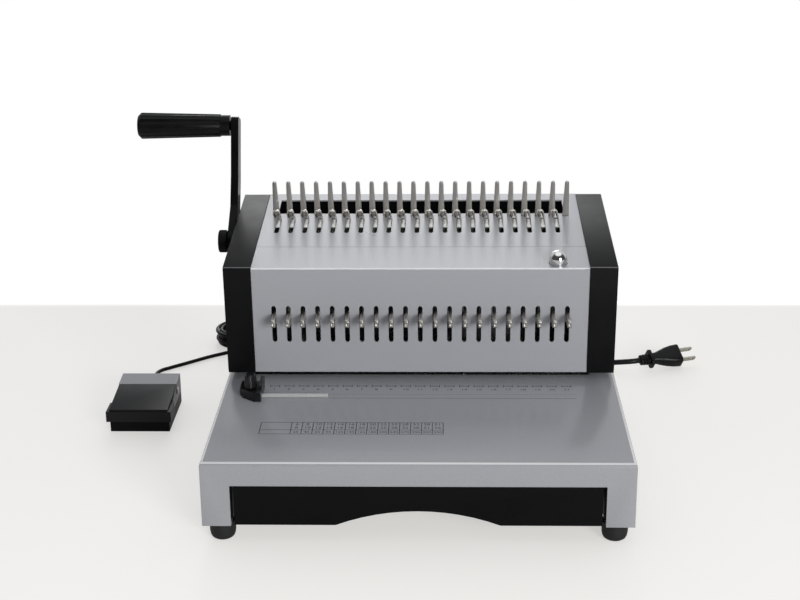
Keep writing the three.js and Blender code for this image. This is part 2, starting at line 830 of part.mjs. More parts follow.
// Pull tabs: flat chrome tabs with a round nose, one for each punch
function pullTab() {
  const noseY = foldY - pullOut;
  const tail = ramFront + pullInRam;
  const outline = rounded([
    [noseY, pullFoot],
    [noseY, pullFoot + pullHeight],
    [tail, pullFoot + pullHeight],
    [tail, pullFoot],
  ], [pullHeight / 2.2, pullHeight / 2.2, 0, 0]);
  return prismX(outline, -pullThick / 2, pullThick / 2);
}
for (let k = 0; k < holeCount; k += 1) {
  const name = `pull_tab_${String(k + 1).padStart(2, '0')}`;
  add(name, pullTab(), chrome).position.x = holeX(k) + pullShift;
}

// Eccentric shaft: two round discs off its axis push the ram down in half a turn
const gearboxRight = chassisInner - seat;
const gearboxLeft = gearboxRight - gearboxWidth;

function eccentricShaft() {
  const left = -chassisOuter;
  const shaft = rodX(left, gearboxRight - runGap, crankY, crankZ, crankShaftRadius);
  const discs = [-1, 1].map((hand) => rodX(
    hand * yokeSpacing / 2 - crankDiscWidth / 2, hand * yokeSpacing / 2 + crankDiscWidth / 2,
    crankY, crankZ + crankThrow, crankDiscRadius, sidesFine));
  return join(shaft, ...discs);
}
add('eccentric_shaft', eccentricShaft(), plainSteel);

// Gear motor: gearbox on the right side plate, motor can beside it
function gearMotor() {
  const gearbox = box(gearboxLeft, gearboxRight, gearboxFront, gearboxFront + gearboxDepth,
    gearboxFoot, gearboxFoot + gearboxHeight);
  const can = rodX(gearboxLeft - motorLength, gearboxLeft + overrun, motorY, motorZ, motorRadius, sidesFine);
  const bore = rodX(gearboxLeft - overrun, gearboxRight + overrun, crankY, crankZ,
    crankShaftRadius + runGap);
  return cut(join(gearbox, can), bore);
}
add('drive_motor', gearMotor(), motorPaint);

// Finger plate: strip under the deck with the fixed fingers bent up from it
function fingerPlate() {
  const stripTop = -coverSheet - seat;
  const strip = box(fingerX(0) - fingerStripSide, fingerX(fingerCount - 1) + fingerStripSide,
    combOpenFront - seat - fingerStripWidth, combOpenFront - seat, stripTop - fingerStripSheet, stripTop);
  const blade = rounded([
    [-fingerFootWidth / 2, -fingerRoot],
    [fingerFootWidth / 2, -fingerRoot],
    [fingerTipWidth / 2, fingerLength],
    [-fingerTipWidth / 2, fingerLength],
  ], [0, 0, fingerTipWidth * 0.45, fingerTipWidth * 0.45]);
  const fingers = Array.from({ length: fingerCount }, (_, k) => prismY(
    blade, -fingerThick / 2, fingerThick / 2)
    .rotateX(leanRadians).translate(fingerX(k), fingerAlong, 0));
  return join(strip, ...fingers);
}
add('finger_plate', fingerPlate(), satinSteel, deck);

// Hook plate: slides under the deck, with a hook through each slot and a rack under each end
const pitchRadius = (gearModule * pinionTeeth) / 2;
const rackLine = -shaftDrop + pitchRadius;
const toothPitch = Math.PI * gearModule;
const pressure = THREE.MathUtils.degToRad(pressureAngle);
const hookPlateHalf = halfCover - seat;

function rackOutline(plateFoot) {
  const first = Math.ceil((hookArmFront - shaftAlong) / toothPitch + 0.5);
  const last = Math.floor((hookWebRear - shaftAlong) / toothPitch - 0.25);
  const tip = rackLine - gearModule;
  const root = rackLine + gearModule * 1.25;
  const half = toothPitch / 4 - toothSlack / 4;
  const points = [[hookArmFront, plateFoot + hookSheet / 2], [hookArmFront, root]];
  for (let k = first; k <= last; k += 1) {
    const middle = shaftAlong + k * toothPitch;
    points.push([middle - half - (root - rackLine) * Math.tan(pressure), root]);
    points.push([middle - half + (rackLine - tip) * Math.tan(pressure), tip]);
    points.push([middle + half - (rackLine - tip) * Math.tan(pressure), tip]);
    points.push([middle + half + (root - rackLine) * Math.tan(pressure), root]);
  }
  points.push([hookWebRear, root], [hookWebRear, plateFoot + hookSheet / 2]);
  return points;
}

function hookHead(x) {
  const middle = x - hookHeadSide;
  const end = THREE.MathUtils.degToRad(hookHeadEnd);
  const arc = (radius, from, to, count) => Array.from({ length: count + 1 }, (_, k) => {
    const angle = from + (to - from) * (k / count);
    return [middle + radius * Math.cos(angle), hookHeadLift + radius * Math.sin(angle)];
  });
  const foot = -hookSink - hookSheet / 2;
  const outline = [
    [middle + hookHeadBore, foot],
    ...arc(hookHeadBore, 0, end, hookArcSteps),
    ...arc(hookHeadRadius, end, 0, hookArcSteps),
    [x + hookWidth / 2, hookHeadLift - hookHeadRadius / 2],
    [x + hookWidth / 2, foot],
  ];
  return prismY(outline, hookHeadAlong, hookHeadAlong + hookHeadThick);
}

function hookPlate() {
  const top = -hookPlateDrop;
  const low = top - hookSheet;
  const side = (hand) => [
    Math.min(hand * hookPlateHalf, hand * (hookPlateHalf - hookArmWidth)),
    Math.max(hand * hookPlateHalf, hand * (hookPlateHalf - hookArmWidth)),
  ];
  const web = box(-hookPlateHalf, hookPlateHalf, hookWebFront, hookWebRear, low, top);
  const arms = [-1, 1].map((hand) => box(...side(hand), hookArmFront, hookWebRear, low, top));
  const racks = [-1, 1].map((hand) => prismX(rackOutline(low), ...side(hand)));
  const tongue = [
    [hookFront, low], [hookFront, -hookSink], [hookRear, -hookSink],
    [hookRear, top], [hookWebFront + hookSheet, top], [hookWebFront + hookSheet, low],
  ];
  const hooks = Array.from({ length: holeCount }, (_, k) => hookX(k)).flatMap((x) => [
    prismX(tongue, x - hookWidth / 2, x + hookWidth / 2),
    hookHead(x),
  ]);
  return join(web, ...arms, ...racks, ...hooks);
}
add('hook_plate', hookPlate(), chrome, deck);

// Comb trough: black tray under the long opening behind the fingers
function combTrough() {
  const half = combOpenHalf + troughLedge;
  const top = -coverSheet - seat;
  const front = combOpenFront + seat;
  const rear = combOpenRear + troughLedge;
  const outer = box(fingerShift - half - troughWall, fingerShift + half + troughWall,
    front, rear + troughWall, top - troughDepth, top);
  const inner = box(fingerShift - half, fingerShift + half,
    front + troughWall, rear, top - troughDepth + troughWall, top + overrun);
  return cut(outer, inner);
}
add('comb_trough', combTrough(), blackEnamel, deck);

// Lever shaft with a pinion under each rack
function pinionOutline() {
  const tip = pitchRadius + gearModule;
  const root = pitchRadius - gearModule * 1.25;
  const baseRadius = pitchRadius * Math.cos(pressure);
  const involute = (angle) => Math.tan(angle) - angle;
  const halfPitch = (toothPitch / 2 - toothSlack / 2) / pitchRadius / 2;
  const halfAt = (radius) => halfPitch + involute(pressure)
    - involute(Math.acos(Math.min(1, baseRadius / radius)));
  const points = [];
  for (let k = 0; k < pinionTeeth; k += 1) {
    const middle = Math.PI / 2 + ((k + 0.5) * 2 * Math.PI) / pinionTeeth;
    const flank = [[root, halfAt(baseRadius)], [tip, halfAt(tip)]];
    flank.forEach(([radius, half]) => points.push([radius, middle - half]));
    flank.reverse().forEach(([radius, half]) => points.push([radius, middle + half]));
  }
  return points.map(([radius, angle]) => [radius * Math.cos(angle), radius * Math.sin(angle)]);
}

const armOuter = -(capOuter + armGap + armThick);
const armInner = -(capOuter + armGap);

function leverShaft() {
  const rackMiddle = hookPlateHalf - hookArmWidth / 2;
  const shaft = rodX(armOuter + seat, chassisOuter + armGap, 0, 0, shaftRadius);
  const pinions = [-1, 1].map((hand) => prismX(pinionOutline(),
    hand * rackMiddle - pinionWidth / 2, hand * rackMiddle + pinionWidth / 2));
  return join(shaft, ...pinions);
}
const leverShaftMesh = add('lever_shaft', leverShaft(), plainSteel, deck);
leverShaftMesh.position.set(0, shaftAlong, -shaftDrop);

// Lever arm: cranked flat bar with a boss below and a spindle for the grip above
const [shaftY, shaftZ] = shaftPoint;
const armTipY = shaftY + armTipBack;
const armTipZ = shaftZ + armTipUp;
const armLine = [
  [shaftY, shaftZ + armBossRadius],
  [shaftY + armElbowBack, shaftZ + armElbowUp],
  [shaftY + armCrookBack, shaftZ + armCrookUp],
  [armTipY, armTipZ],
];
const armUpper = new THREE.Vector2(armTipBack - armCrookBack, armTipUp - armCrookUp).normalize();
const gripAxis = [
  armTipY + armUpper.y * (armWidth / 2) - armUpper.x * gripInset,
  armTipZ - armUpper.x * (armWidth / 2) - armUpper.y * gripInset,
];
const gripRight = armOuter - gripGap;

function leverArm() {
  const outline = rounded(bentSheet(armLine, armWidth),
    [0, armBendRound, armBendRound, armTipRound, armTipRound, armBendRound, armBendRound, 0]);
  const boss = rodX(armOuter, armInner, shaftY, shaftZ, armBossRadius, sidesFine);
  const bar = prismX(outline, armOuter, armInner);
  const spindle = rodX(gripRight - collarLength - gripLength + spindleShort, armOuter + armThick / 2,
    ...gripAxis, spindleRadius);
  const bore = rodX(armOuter - overrun, armInner + overrun, shaftY, shaftZ, shaftRadius + seat);
  return cut(join(boss, bar, spindle), bore);
}
add('lever_arm', leverArm(), blackEnamel);

// Grip: fluted, thicker outwards, with a collar next to the arm
function leverGrip() {
  const length = collarLength + gripLength;
  const collar = rodZ(0, collarLength + gripRound, 0, 0, collarRadius, sidesFine);
  const body = flutedBar(gripLength, gripNeckRadius, gripRadius, gripFlute, 16, gripRound)
    .translate(0, 0, collarLength);
  const bore = rodZ(-overrun, length - spindleShort + seat, 0, 0, spindleRadius + seat);
  return cut(join(collar, body), bore).rotateY(-Math.PI / 2);
}
add('lever_grip', leverGrip(), blackPlastic).position.set(gripRight, ...gripAxis);

// Lever knob: knurled cap nut that holds the arm on its shaft
function leverKnob() {
  return flutedBar(leverKnobLength, leverKnobRadius, leverKnobRadius, leverKnobRadius * 0.06, 14, leverKnobRound)
    .rotateY(-Math.PI / 2);
}
add('lever_knob', leverKnob(), blackPlastic).position.set(armOuter - seat, shaftY, shaftZ);

// Punch button: chrome dome on a straight skirt, guided by its hole
function punchButton() {
  const dome = Array.from({ length: 6 }, (_, k) => {
    const angle = (Math.PI / 2) * (k / 5);
    return [buttonRadius * Math.cos(angle), buttonRise + buttonRadius * Math.sin(angle)];
  });
  dome[dome.length - 1][0] = 0;
  return turned([[0, -buttonSkirt], [buttonRadius, -buttonSkirt], ...dome]);
}
add('punch_button', punchButton(), chrome, deck).position.set(buttonX, buttonAlong, 0);

// Edge guide: rail on the table, block that slides along it, clamp knob
add('guide_rail', box(guideRailLeft, guideRailRight, guideRailY - guideRailWidth / 2,
  guideRailY + guideRailWidth / 2, tableHeight + seat, tableHeight + seat + guideRailHeight), satinSteel);

const guideTop = tableHeight + seat + guideBlockHeight;

function guideBlock() {
  const z0 = tableHeight + seat;
  const body = prismZ([
    [guideBlockLeft, guideBlockFront + guideNoseDepth],
    [guideBlockRight - guideNoseWidth, guideBlockFront],
    [guideBlockRight, guideBlockFront],
    [guideBlockRight, guideBlockRear],
    [guideBlockLeft, guideBlockRear],
  ], z0, guideTop);
  const fence = box(guideBlockRight - guideFenceWidth, guideBlockRight, guideBlockFront + guideNoseDepth,
    guideFenceRear, z0, z0 + guideFenceHeight);
  const channel = box(guideBlockLeft - overrun, guideBlockRight + overrun,
    guideRailY - guideRailWidth / 2 - seat, guideRailY + guideRailWidth / 2 + seat,
    z0 - overrun, z0 + guideRailHeight + seat);
  const bore = rodZ(z0, guideTop + overrun, guideKnobX, guideRailY, guideScrewRadius + seat);
  return cut(join(body, fence), channel, bore);
}
add('guide_block', guideBlock(), blackPlastic);

function guideKnob() {
  const head = flutedBar(guideKnobHeight, guideKnobFoot, guideKnobTop, guideKnobFlute, 12, guideKnobRound);
  const screw = rodZ(-(guideBlockHeight - guideRailHeight - seat), guideKnobRound, 0, 0, guideScrewRadius);
  return join(head, screw);
}
add('guide_knob', guideKnob(), blackPlastic).position.set(guideKnobX, guideRailY, guideTop + seat);

// Rear panel: black plate over the opening in the rear skirt, with a tapered relief for each cord
const panelBack = baseDepth + seat + panelSheet;
const switchZ = panelFoot + panelHeight / 2;

function relief(x, cordDiameter, length) {
  const root = (cordDiameter / 2) * reliefRootShare;
  const tip = (cordDiameter / 2) * reliefTipShare;
  const cone = turned([[0, 0], [root, 0], [root, panelSheet], [tip, length], [0, length]]);
  return cone.rotateX(-Math.PI / 2).translate(x, panelBack - panelSheet, entryZ);
}

function rearPanel() {
  const plate = box(panelLeft, panelRight, baseDepth + seat, panelBack, panelFoot, panelFoot + panelHeight);
  const window = box(switchX - switchWidth / 2 - switchGap, switchX + switchWidth / 2 + switchGap,
    baseDepth - overrun, panelBack + overrun,
    switchZ - switchHeight / 2 - switchGap, switchZ + switchHeight / 2 + switchGap);
  return cut(join(plate, relief(mainsEntryX, mainsDiameter, mainsReliefLength),
    relief(pedalEntryX, pedalDiameter, pedalReliefLength)), window);
}
add('rear_panel', rearPanel(), blackPlastic);

// Mains switch: rocker on a level axis in the panel's window
function mainsSwitch() {
  const half = switchHeight / 2;
  const outline = [
    [-switchDepth / 2, -half * 0.8], [-switchDepth / 2, half * 0.8],
    [0, half], [switchProud, half * 0.96], [switchProud * 0.6, 0], [switchProud, -half * 0.96], [0, -half],
  ];
  const rocker = prismX(outline, -switchWidth / 2, switchWidth / 2);
  return rocker.rotateX(THREE.MathUtils.degToRad(-switchTilt));
}
add('mains_switch', mainsSwitch(), blackPlastic).position.set(switchX, panelBack - panelSheet / 2, switchZ);

// Foot pedal: black base, grey cover, black treadle on a pin
const pedal = new THREE.Group();
pedal.position.set(pedalX, pedalY, 0);
group.add(pedal);
const pedalHalf = pedalWidth / 2;
const pedalPinY = pedalCoverFront;

function pedalBase() {
  const outer = box(-pedalHalf, pedalHalf, pedalBaseFront, pedalDepth, 0, pedalBaseHeight);
  const inner = box(-pedalHalf + pedalWall, pedalHalf - pedalWall, pedalBaseFront + pedalWall,
    pedalDepth - pedalWall, pedalWall, pedalBaseHeight + overrun);
  const tail = turned([
    [0, 0], [pedalReliefRoot, 0], [pedalReliefTip, pedalTail], [0, pedalTail],
  ]).rotateX(-Math.PI / 2).translate(0, pedalDepth - pedalWall / 2, pedalExitZ);
  return join(cut(outer, inner), tail);
}
add('pedal_base', pedalBase(), blackPlastic, pedal);

function pedalCover() {
  const foot = pedalBaseHeight + seat;
  const side = [
    [pedalSideFront, foot], [pedalSideFront, pedalSideLow], [pedalCoverFront, pedalSideHigh],
    [pedalCoverFront, pedalTopFront], [pedalDepth, pedalTopRear], [pedalDepth, foot],
  ];
  const hollow = [
    [pedalSideFront - overrun, foot - overrun], [pedalSideFront - overrun, pedalTopRear],
    [pedalCoverFront - seat, pedalTopRear], [pedalCoverFront - seat, pedalTopFront - pedalWall],
    [pedalDepth - pedalWall, pedalTopRear - pedalWall], [pedalDepth - pedalWall, foot - overrun],
  ];
  const shell = cut(prismX(side, -pedalHalf, pedalHalf),
    prismX(hollow, -pedalHalf + pedalWall, pedalHalf - pedalWall));
  return cut(shell, rodX(-pedalHalf - overrun, pedalHalf + overrun, pedalPinY, pedalPinZ,
    pedalPinRadius + seat));
}
add('pedal_cover', pedalCover(), greyPaint, pedal);

function pedalTreadle() {
  const half = pedalHalf - treadleSide;
  const slope = (pedalTopFront - treadleFrontZ) / pedalCoverFront;
  const rear = pedalCoverFront - 2 * seat;
  const front = skirtFrontY + skirtWall;
  const topAt = (y) => treadleFrontZ + slope * y;
  const plate = prismX([
    [front, topAt(front)], [rear, topAt(rear)],
    [rear, topAt(rear) - treadleSheet], [front, topAt(front) - treadleSheet],
  ], -half, half);
  const skirtHalf = pedalHalf + skirtSide;
  const skirtOuter = box(-skirtHalf, skirtHalf, skirtFrontY, skirtReach, skirtLow, skirtHigh);
  const skirtInner = box(-skirtHalf + skirtWall, skirtHalf - skirtWall, skirtFrontY + skirtWall,
    skirtReach + overrun, skirtLow - overrun, skirtHigh - skirtWall);
  const ears = [-1, 1].map((hand) => {
    const x0 = hand * (pedalHalf - pedalWall - pedalEarInset - pedalEar / 2) - pedalEar / 2;
    const eye = rodX(x0, x0 + pedalEar, pedalPinY, pedalPinZ, pedalEarRadius);
    const neck = prismX([
      [pedalPinY - pedalEarRadius, pedalPinZ], [pedalPinY - pedalEarRadius, topAt(rear) - treadleSheet / 2],
      [rear, topAt(rear) - treadleSheet / 2], [rear, pedalPinZ],
    ], x0, x0 + pedalEar);
    return join(eye, neck);
  });
  const bore = rodX(-pedalHalf, pedalHalf, pedalPinY, pedalPinZ, pedalPinRadius + seat);
  return cut(join(plate, cut(skirtOuter, skirtInner), ...ears), bore);
}
add('pedal_treadle', pedalTreadle(), rubber, pedal);

function pedalPin() {
  const head = pedalHalf + seat;
  return join(
    rodX(-head, head + pedalPinHeadLength / 2, pedalPinY, pedalPinZ, pedalPinRadius),
    rodX(head, head + pedalPinHeadLength, pedalPinY, pedalPinZ, pedalPinHead));
}
add('pedal_pin', pedalPin(), satinSteel, pedal);

// Cords: tubes along hand-placed routes, and coils worked out by a loop
function circle(radius, sides) {
  return new THREE.Shape(Array.from({ length: sides }, (_, k) => {
    const angle = (2 * Math.PI * k) / sides;
    return new THREE.Vector2(radius * Math.cos(angle), radius * Math.sin(angle));
  }));
}

function tube(points, radius, sides, steps) {
  const path = new THREE.CatmullRomCurve3(points.map((p) => new THREE.Vector3(...p)), false, 'centripetal');
  path.arcLengthDivisions = steps * 10;
  return new THREE.ExtrudeGeometry(circle(radius, sides), { steps, bevelEnabled: false, extrudePath: path });
}

function pathLength(points) {
  return new THREE.CatmullRomCurve3(points.map((p) => new THREE.Vector3(...p)), false, 'centripetal').getLength();
}

// Coil: turns spiral in and out, layer on layer, and climb in the half turn where they reverse
function coilPath(diameter, middleRadius, turns, startAngle, hand) {
  const pitch = diameter + turnGap;
  const perLayer = turns / coilLayers;
  const inner = middleRadius - (perLayer * pitch) / 2;
  const steps = Math.round(turns * coilSteps);
  const points = [];
  for (let i = 0; i <= steps; i += 1) {
    const turn = (turns * i) / steps;
    const within = turn / perLayer;
    const fold = Math.abs((within % 2) - 1);
    let climb = 0;
    for (let layer = 1; layer < coilLayers; layer += 1) {
      const share = THREE.MathUtils.clamp((turn - layer * perLayer) * 2 + 0.5, 0, 1);
      climb += share * share * (3 - 2 * share);
    }
    const radius = inner + perLayer * pitch * fold;
    const angle = startAngle + hand * 2 * Math.PI * turn;
    points.push([radius * Math.cos(angle), radius * Math.sin(angle), diameter / 2 + climb * pitch]);
  }
  const lead = ([x, y, z], angle, sense) => [
    x - sense * hand * Math.sin(angle) * diameter,
    y + sense * hand * Math.cos(angle) * diameter,
    z,
  ];
  const endAngle = startAngle + hand * 2 * Math.PI * turns;
  points.unshift(lead(points[0], startAngle, -1));
  points.push(lead(points[points.length - 1], endAngle, 1));
  return points;
}

// Tube through every point of a path, with a ring square to it at each
function tubeThrough(points, radius, sides) {
  const at = points.map((p) => new THREE.Vector3(...p));
  const up = new THREE.Vector3(0, 0, 1);
  const positions = [];
  const faces = [];
  at.forEach((point, i) => {
    const ahead = at[Math.min(i + 1, at.length - 1)].clone().sub(at[Math.max(i - 1, 0)]).normalize();
    const across = new THREE.Vector3().crossVectors(up, ahead).normalize();
    const raise = new THREE.Vector3().crossVectors(ahead, across);
    for (let k = 0; k < sides; k += 1) {
      const angle = (2 * Math.PI * (k + 0.5)) / sides;
      const spot = point.clone().addScaledVector(across, radius * Math.cos(angle))
        .addScaledVector(raise, radius * Math.sin(angle));
      positions.push(spot.x, spot.y, spot.z);
    }
  });
  for (let i = 0; i < at.length - 1; i += 1) {
    for (let k = 0; k < sides; k += 1) {
      const a = i * sides + k;
      const b = i * sides + ((k + 1) % sides);
      faces.push(a, b, b + sides, a, b + sides, a + sides);
    }
  }
  const last = (at.length - 1) * sides;
  for (let k = 1; k < sides - 1; k += 1) {
    faces.push(0, k + 1, k);
    faces.push(last, last + k, last + k + 1);
  }
  const geometry = new THREE.BufferGeometry();
  geometry.setAttribute('position', new THREE.Float32BufferAttribute(positions, 3));
  geometry.setIndex(faces);
  return geometry;
}

// Least gap of a coil to itself: points more than a third of a turn apart along it
function leastGap(points, diameter) {
  let least = Infinity;
  const apart = Math.round(coilSteps / 3);
  for (let i = 0; i < points.length; i += 1) {
    for (let j = i + apart; j < points.length; j += 1) {
      const a = points[i];
      const b = points[j];
      least = Math.min(least, Math.hypot(a[0] - b[0], a[1] - b[1], a[2] - b[2]) - diameter);
    }
  }
  return least;
}

const mainsTurns = 7.5;
const pedalTurns = 7 + 11 / 12;
const mainsCoil = coilPath(mainsDiameter, mainsCoilRadius, mainsTurns, -Math.PI / 2, -1);
const pedalCoil = coilPath(pedalDiameter, pedalCoilRadius, pedalTurns, -Math.PI / 3, 1);

function placedCoil(name, points, diameter, x, y) {
  add(name, tubeThrough(points, diameter / 2, coilSides), rubber).position.set(x, y, 0);
  console.log(`${name}: least gap ${leastGap(points, diameter).toFixed(2)} mm, length ${pathLength(points).toFixed(0)} mm`);
}
placedCoil('mains_coil', mainsCoil, mainsDiameter, mainsCoilX, mainsCoilY);
placedCoil('pedal_coil', pedalCoil, pedalDiameter, pedalCoilX, pedalCoilY);

const coilEnd = (points, x, y, end) => {
  const [px, py, pz] = end === 0 ? points[0] : points[points.length - 1];
  return new THREE.Vector3(px + x, py + y, pz);
};
const mainsCoilFoot = coilEnd(mainsCoil, mainsCoilX, mainsCoilY, 0);
const mainsCoilCrown = coilEnd(mainsCoil, mainsCoilX, mainsCoilY, 1);
const pedalCoilFoot = coilEnd(pedalCoil, pedalCoilX, pedalCoilY, 0);
const pedalCoilCrown = coilEnd(pedalCoil, pedalCoilX, pedalCoilY, 1);

// Routes of the free stretches, hand-placed between the ends that they meet
const mainsFloor = mainsDiameter / 2;
const pedalFloor = pedalDiameter / 2;
const mainsMouth = panelBack - panelSheet + mainsReliefLength + seat;
const mainsInner = [
  [mainsEntryX, mainsMouth, entryZ],
  [mainsEntryX, 429, 44.6],
  [130, 439, 42],
  [130.5, 450, 34],
  [131, 460, 23],
  [131, 471, 11.5],
  [129.5, 483, 4.6],
  [125, 495, mainsFloor + 0.4],
  [116, 504, mainsFloor + 0.4],
  [104, 508.5, 5.5],
  [91, 509.6, 12],
  [79, 509.8, 19],
  [mainsCoilCrown.x + 6, mainsCoilCrown.y, mainsCoilCrown.z],
  [mainsCoilCrown.x + seat, mainsCoilCrown.y, mainsCoilCrown.z],
];
const pedalMouth = panelBack - panelSheet + pedalReliefLength + seat;
const pedalInner = [
  [pedalEntryX, pedalMouth, entryZ],
  [pedalEntryX, 420, 44.2],
  [-150.2, 430, 39.5],
  [-150.8, 439, 30],
  [-152, 447, 18],
  [-154.5, 456, 8],
  [-160, 465, pedalFloor + 0.6],
  [-169, 471.5, pedalFloor],
  [-181, 474, 3.4],
  [-193, 474.6, 8.6],
  [-203, 474.5, 14],
  [pedalCoilCrown.x + 4.5, pedalCoilCrown.y, pedalCoilCrown.z],
  [pedalCoilCrown.x + seat, pedalCoilCrown.y, pedalCoilCrown.z],
];
const pedalRear = pedalY + pedalDepth - pedalWall / 2 + pedalTail + seat;
const pedalOuter = [
  [pedalX, pedalRear, pedalExitZ],
  [pedalX - 0.2, pedalRear + 7, 5.4],
  [pedalX - 1.6, 361, 3],
  [-297.6, 373, pedalFloor],
  [-301.2, 385, pedalFloor],
  [-302.4, 395, pedalFloor],
  [-299, 405.5, pedalFloor],
  [-290, 414, pedalFloor],
  [-278, 424, pedalFloor],
  [-264, 436, pedalFloor],
  [-249, 448.5, pedalFloor],
  [-236, 457.5, pedalFloor],
  [-222, 466.8, pedalFloor],
  [pedalCoilFoot.x - seat * Math.cos(Math.PI / 6), pedalCoilFoot.y - seat * Math.sin(Math.PI / 6), pedalFloor],
];

// Mains plug: tapered neck, flange and body, two flat prongs, lying on a tilted edge
const tiltRadians = THREE.MathUtils.degToRad(plugTilt);
const yawRadians = THREE.MathUtils.degToRad(plugYaw);
const plugRest = plugLift + plugRound + (plugWidth / 2 - plugRound) * Math.cos(tiltRadians)
  + (plugThick / 2 - plugRound) * Math.sin(tiltRadians);

function section(width, thick, round) {
  return rounded([[-thick / 2, -width / 2], [-thick / 2, width / 2], [thick / 2, width / 2], [thick / 2, -width / 2]], round);
}

function mainsPlug() {
  const neck = prismX(section(plugNeckWidth, plugNeckThick, plugRound), 0, plugNeck + plugFlange);
  const flange = prismX(section(plugFlangeWidth, plugFlangeThick, plugRound), plugNeck, plugNeck + plugFlange);
  const body = prismX(section(plugWidth, plugThick, plugRound), plugNeck + plugFlange - seat, plugNeck + plugLength);
  const end = plugNeck + plugLength;
  const prongs = [-1, 1].map((hand) => {
    const z = hand * prongSpacing / 2;
    const blade = box(end - seat, end + prongLength, -prongHeight / 2, prongHeight / 2,
      z - prongThick / 2, z + prongThick / 2);
    return cut(blade, rodZ(z - prongThick, z + prongThick, end + prongLength - prongHoleInset, 0, prongHole, 8));
  });
  return join(neck, flange, body, ...prongs);
}
const plugMesh = add('mains_plug', mainsPlug(), blackPlastic);
plugMesh.rotation.set(-tiltRadians, 0, yawRadians, 'ZYX');
plugMesh.position.set(plugX, plugY, plugRest);

const plugBack = new THREE.Vector2(-Math.cos(yawRadians), -Math.sin(yawRadians));
const mainsOuter = [
  [mainsCoilFoot.x + seat, mainsCoilFoot.y, mainsFloor],
  [mainsCoilFoot.x + 6.5, mainsCoilFoot.y, mainsFloor],
  [88, 434.5, mainsFloor],
  [105, 434.7, mainsFloor],
  [123, 434.7, mainsFloor],
  [141, 434.2, mainsFloor],
  [158, 432.6, mainsFloor],
  [174, 429.6, mainsFloor],
  [188, 425.6, 3.6],
  [201, 421, 5.6],
  [213, 416.4, 8.2],
  [225, 412.6, 10.4],
  [plugX + plugBack.x * 8, plugY + plugBack.y * 8, plugRest],
  [plugX + plugBack.x * seat, plugY + plugBack.y * seat, plugRest],
];

function cord(name, points, diameter) {
  const length = pathLength(points);
  const steps = Math.round(length / (diameter * 2));
  add(name, tube(points, diameter / 2, cordSides, steps), rubber);
  console.log(`${name}: length ${length.toFixed(0)} mm in ${steps} steps`);
}
cord('mains_lead_inner', mainsInner, mainsDiameter);
cord('mains_lead_outer', mainsOuter, mainsDiameter);
cord('pedal_lead_inner', pedalInner, pedalDiameter);
cord('pedal_lead_outer', pedalOuter, pedalDiameter);

// The origin is under the middle of the machine and its pedal, on the surface that they stand on
const leftMost = pedalX - pedalHalf - skirtSide;
const rightMost = halfBase;
const frontMost = 0;
const rearMost = panelBack - panelSheet + mainsReliefLength;
group.position.set(-(leftMost + rightMost) / 2, -(frontMost + rearMost) / 2, 0);

export default group;
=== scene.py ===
# Electric comb binding machine with its foot pedal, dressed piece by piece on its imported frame.
import json
import math
import bmesh
import bpy
import numpy as np
from mathutils import Matrix, Vector

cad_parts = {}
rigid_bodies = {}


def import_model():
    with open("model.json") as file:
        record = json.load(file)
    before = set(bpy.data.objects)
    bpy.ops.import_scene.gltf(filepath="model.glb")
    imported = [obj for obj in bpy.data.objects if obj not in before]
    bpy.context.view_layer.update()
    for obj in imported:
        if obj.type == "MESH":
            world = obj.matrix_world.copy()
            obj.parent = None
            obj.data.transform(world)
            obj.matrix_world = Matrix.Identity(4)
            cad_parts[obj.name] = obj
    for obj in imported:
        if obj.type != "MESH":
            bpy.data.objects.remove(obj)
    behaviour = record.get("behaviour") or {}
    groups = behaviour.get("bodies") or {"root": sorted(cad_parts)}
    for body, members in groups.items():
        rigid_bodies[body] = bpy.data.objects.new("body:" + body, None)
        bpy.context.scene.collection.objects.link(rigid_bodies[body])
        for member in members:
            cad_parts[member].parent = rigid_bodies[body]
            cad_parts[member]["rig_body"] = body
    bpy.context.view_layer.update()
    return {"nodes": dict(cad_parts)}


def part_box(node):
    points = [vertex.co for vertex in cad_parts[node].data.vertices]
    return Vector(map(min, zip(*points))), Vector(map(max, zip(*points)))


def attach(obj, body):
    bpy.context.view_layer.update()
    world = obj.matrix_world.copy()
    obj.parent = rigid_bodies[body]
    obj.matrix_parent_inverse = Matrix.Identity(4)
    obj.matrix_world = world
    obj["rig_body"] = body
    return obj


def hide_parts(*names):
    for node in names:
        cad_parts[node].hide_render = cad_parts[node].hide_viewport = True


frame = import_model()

# Camera: where the photographer stood, a little right of the machine's middle and looking down on
# the paper table. Lengths are metres. The front skirt and the base's middle come from the frame.
base_low, base_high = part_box("base_cover")
middle_x = (base_low.x + base_high.x) / 2
front_y = base_low.y
origin = np.array([middle_x, front_y, 0.0])

camera_place = (0.02408, -1.26651, 0.68639)
camera_turn = math.radians(-1.717)
camera_dip = math.radians(19.70)
camera_roll = math.radians(-0.579)
sensor_width = 36
lens_share = 1591.77 / 800

ahead = Vector((math.sin(camera_turn) * math.cos(camera_dip), math.cos(camera_turn) * math.cos(camera_dip),
                -math.sin(camera_dip)))
level = Vector((math.cos(camera_turn), -math.sin(camera_turn), 0))
upright = level.cross(ahead)
across = level * math.cos(camera_roll) + upright * math.sin(camera_roll)
above = upright * math.cos(camera_roll) - level * math.sin(camera_roll)


def in_scene(name, data):
    """New object with the data, linked to the scene."""
    piece = bpy.data.objects.new(name, data)
    bpy.context.scene.collection.objects.link(piece)
    return piece


camera_data = bpy.data.cameras.new("camera")
camera_data.sensor_width = sensor_width
camera_data.lens = sensor_width * lens_share
camera = in_scene("camera", camera_data)
turned = Matrix((across, above, -ahead)).transposed().to_4x4()
camera.matrix_world = Matrix.Translation(Vector(camera_place) + Vector(origin)) @ turned
bpy.context.scene.camera = camera


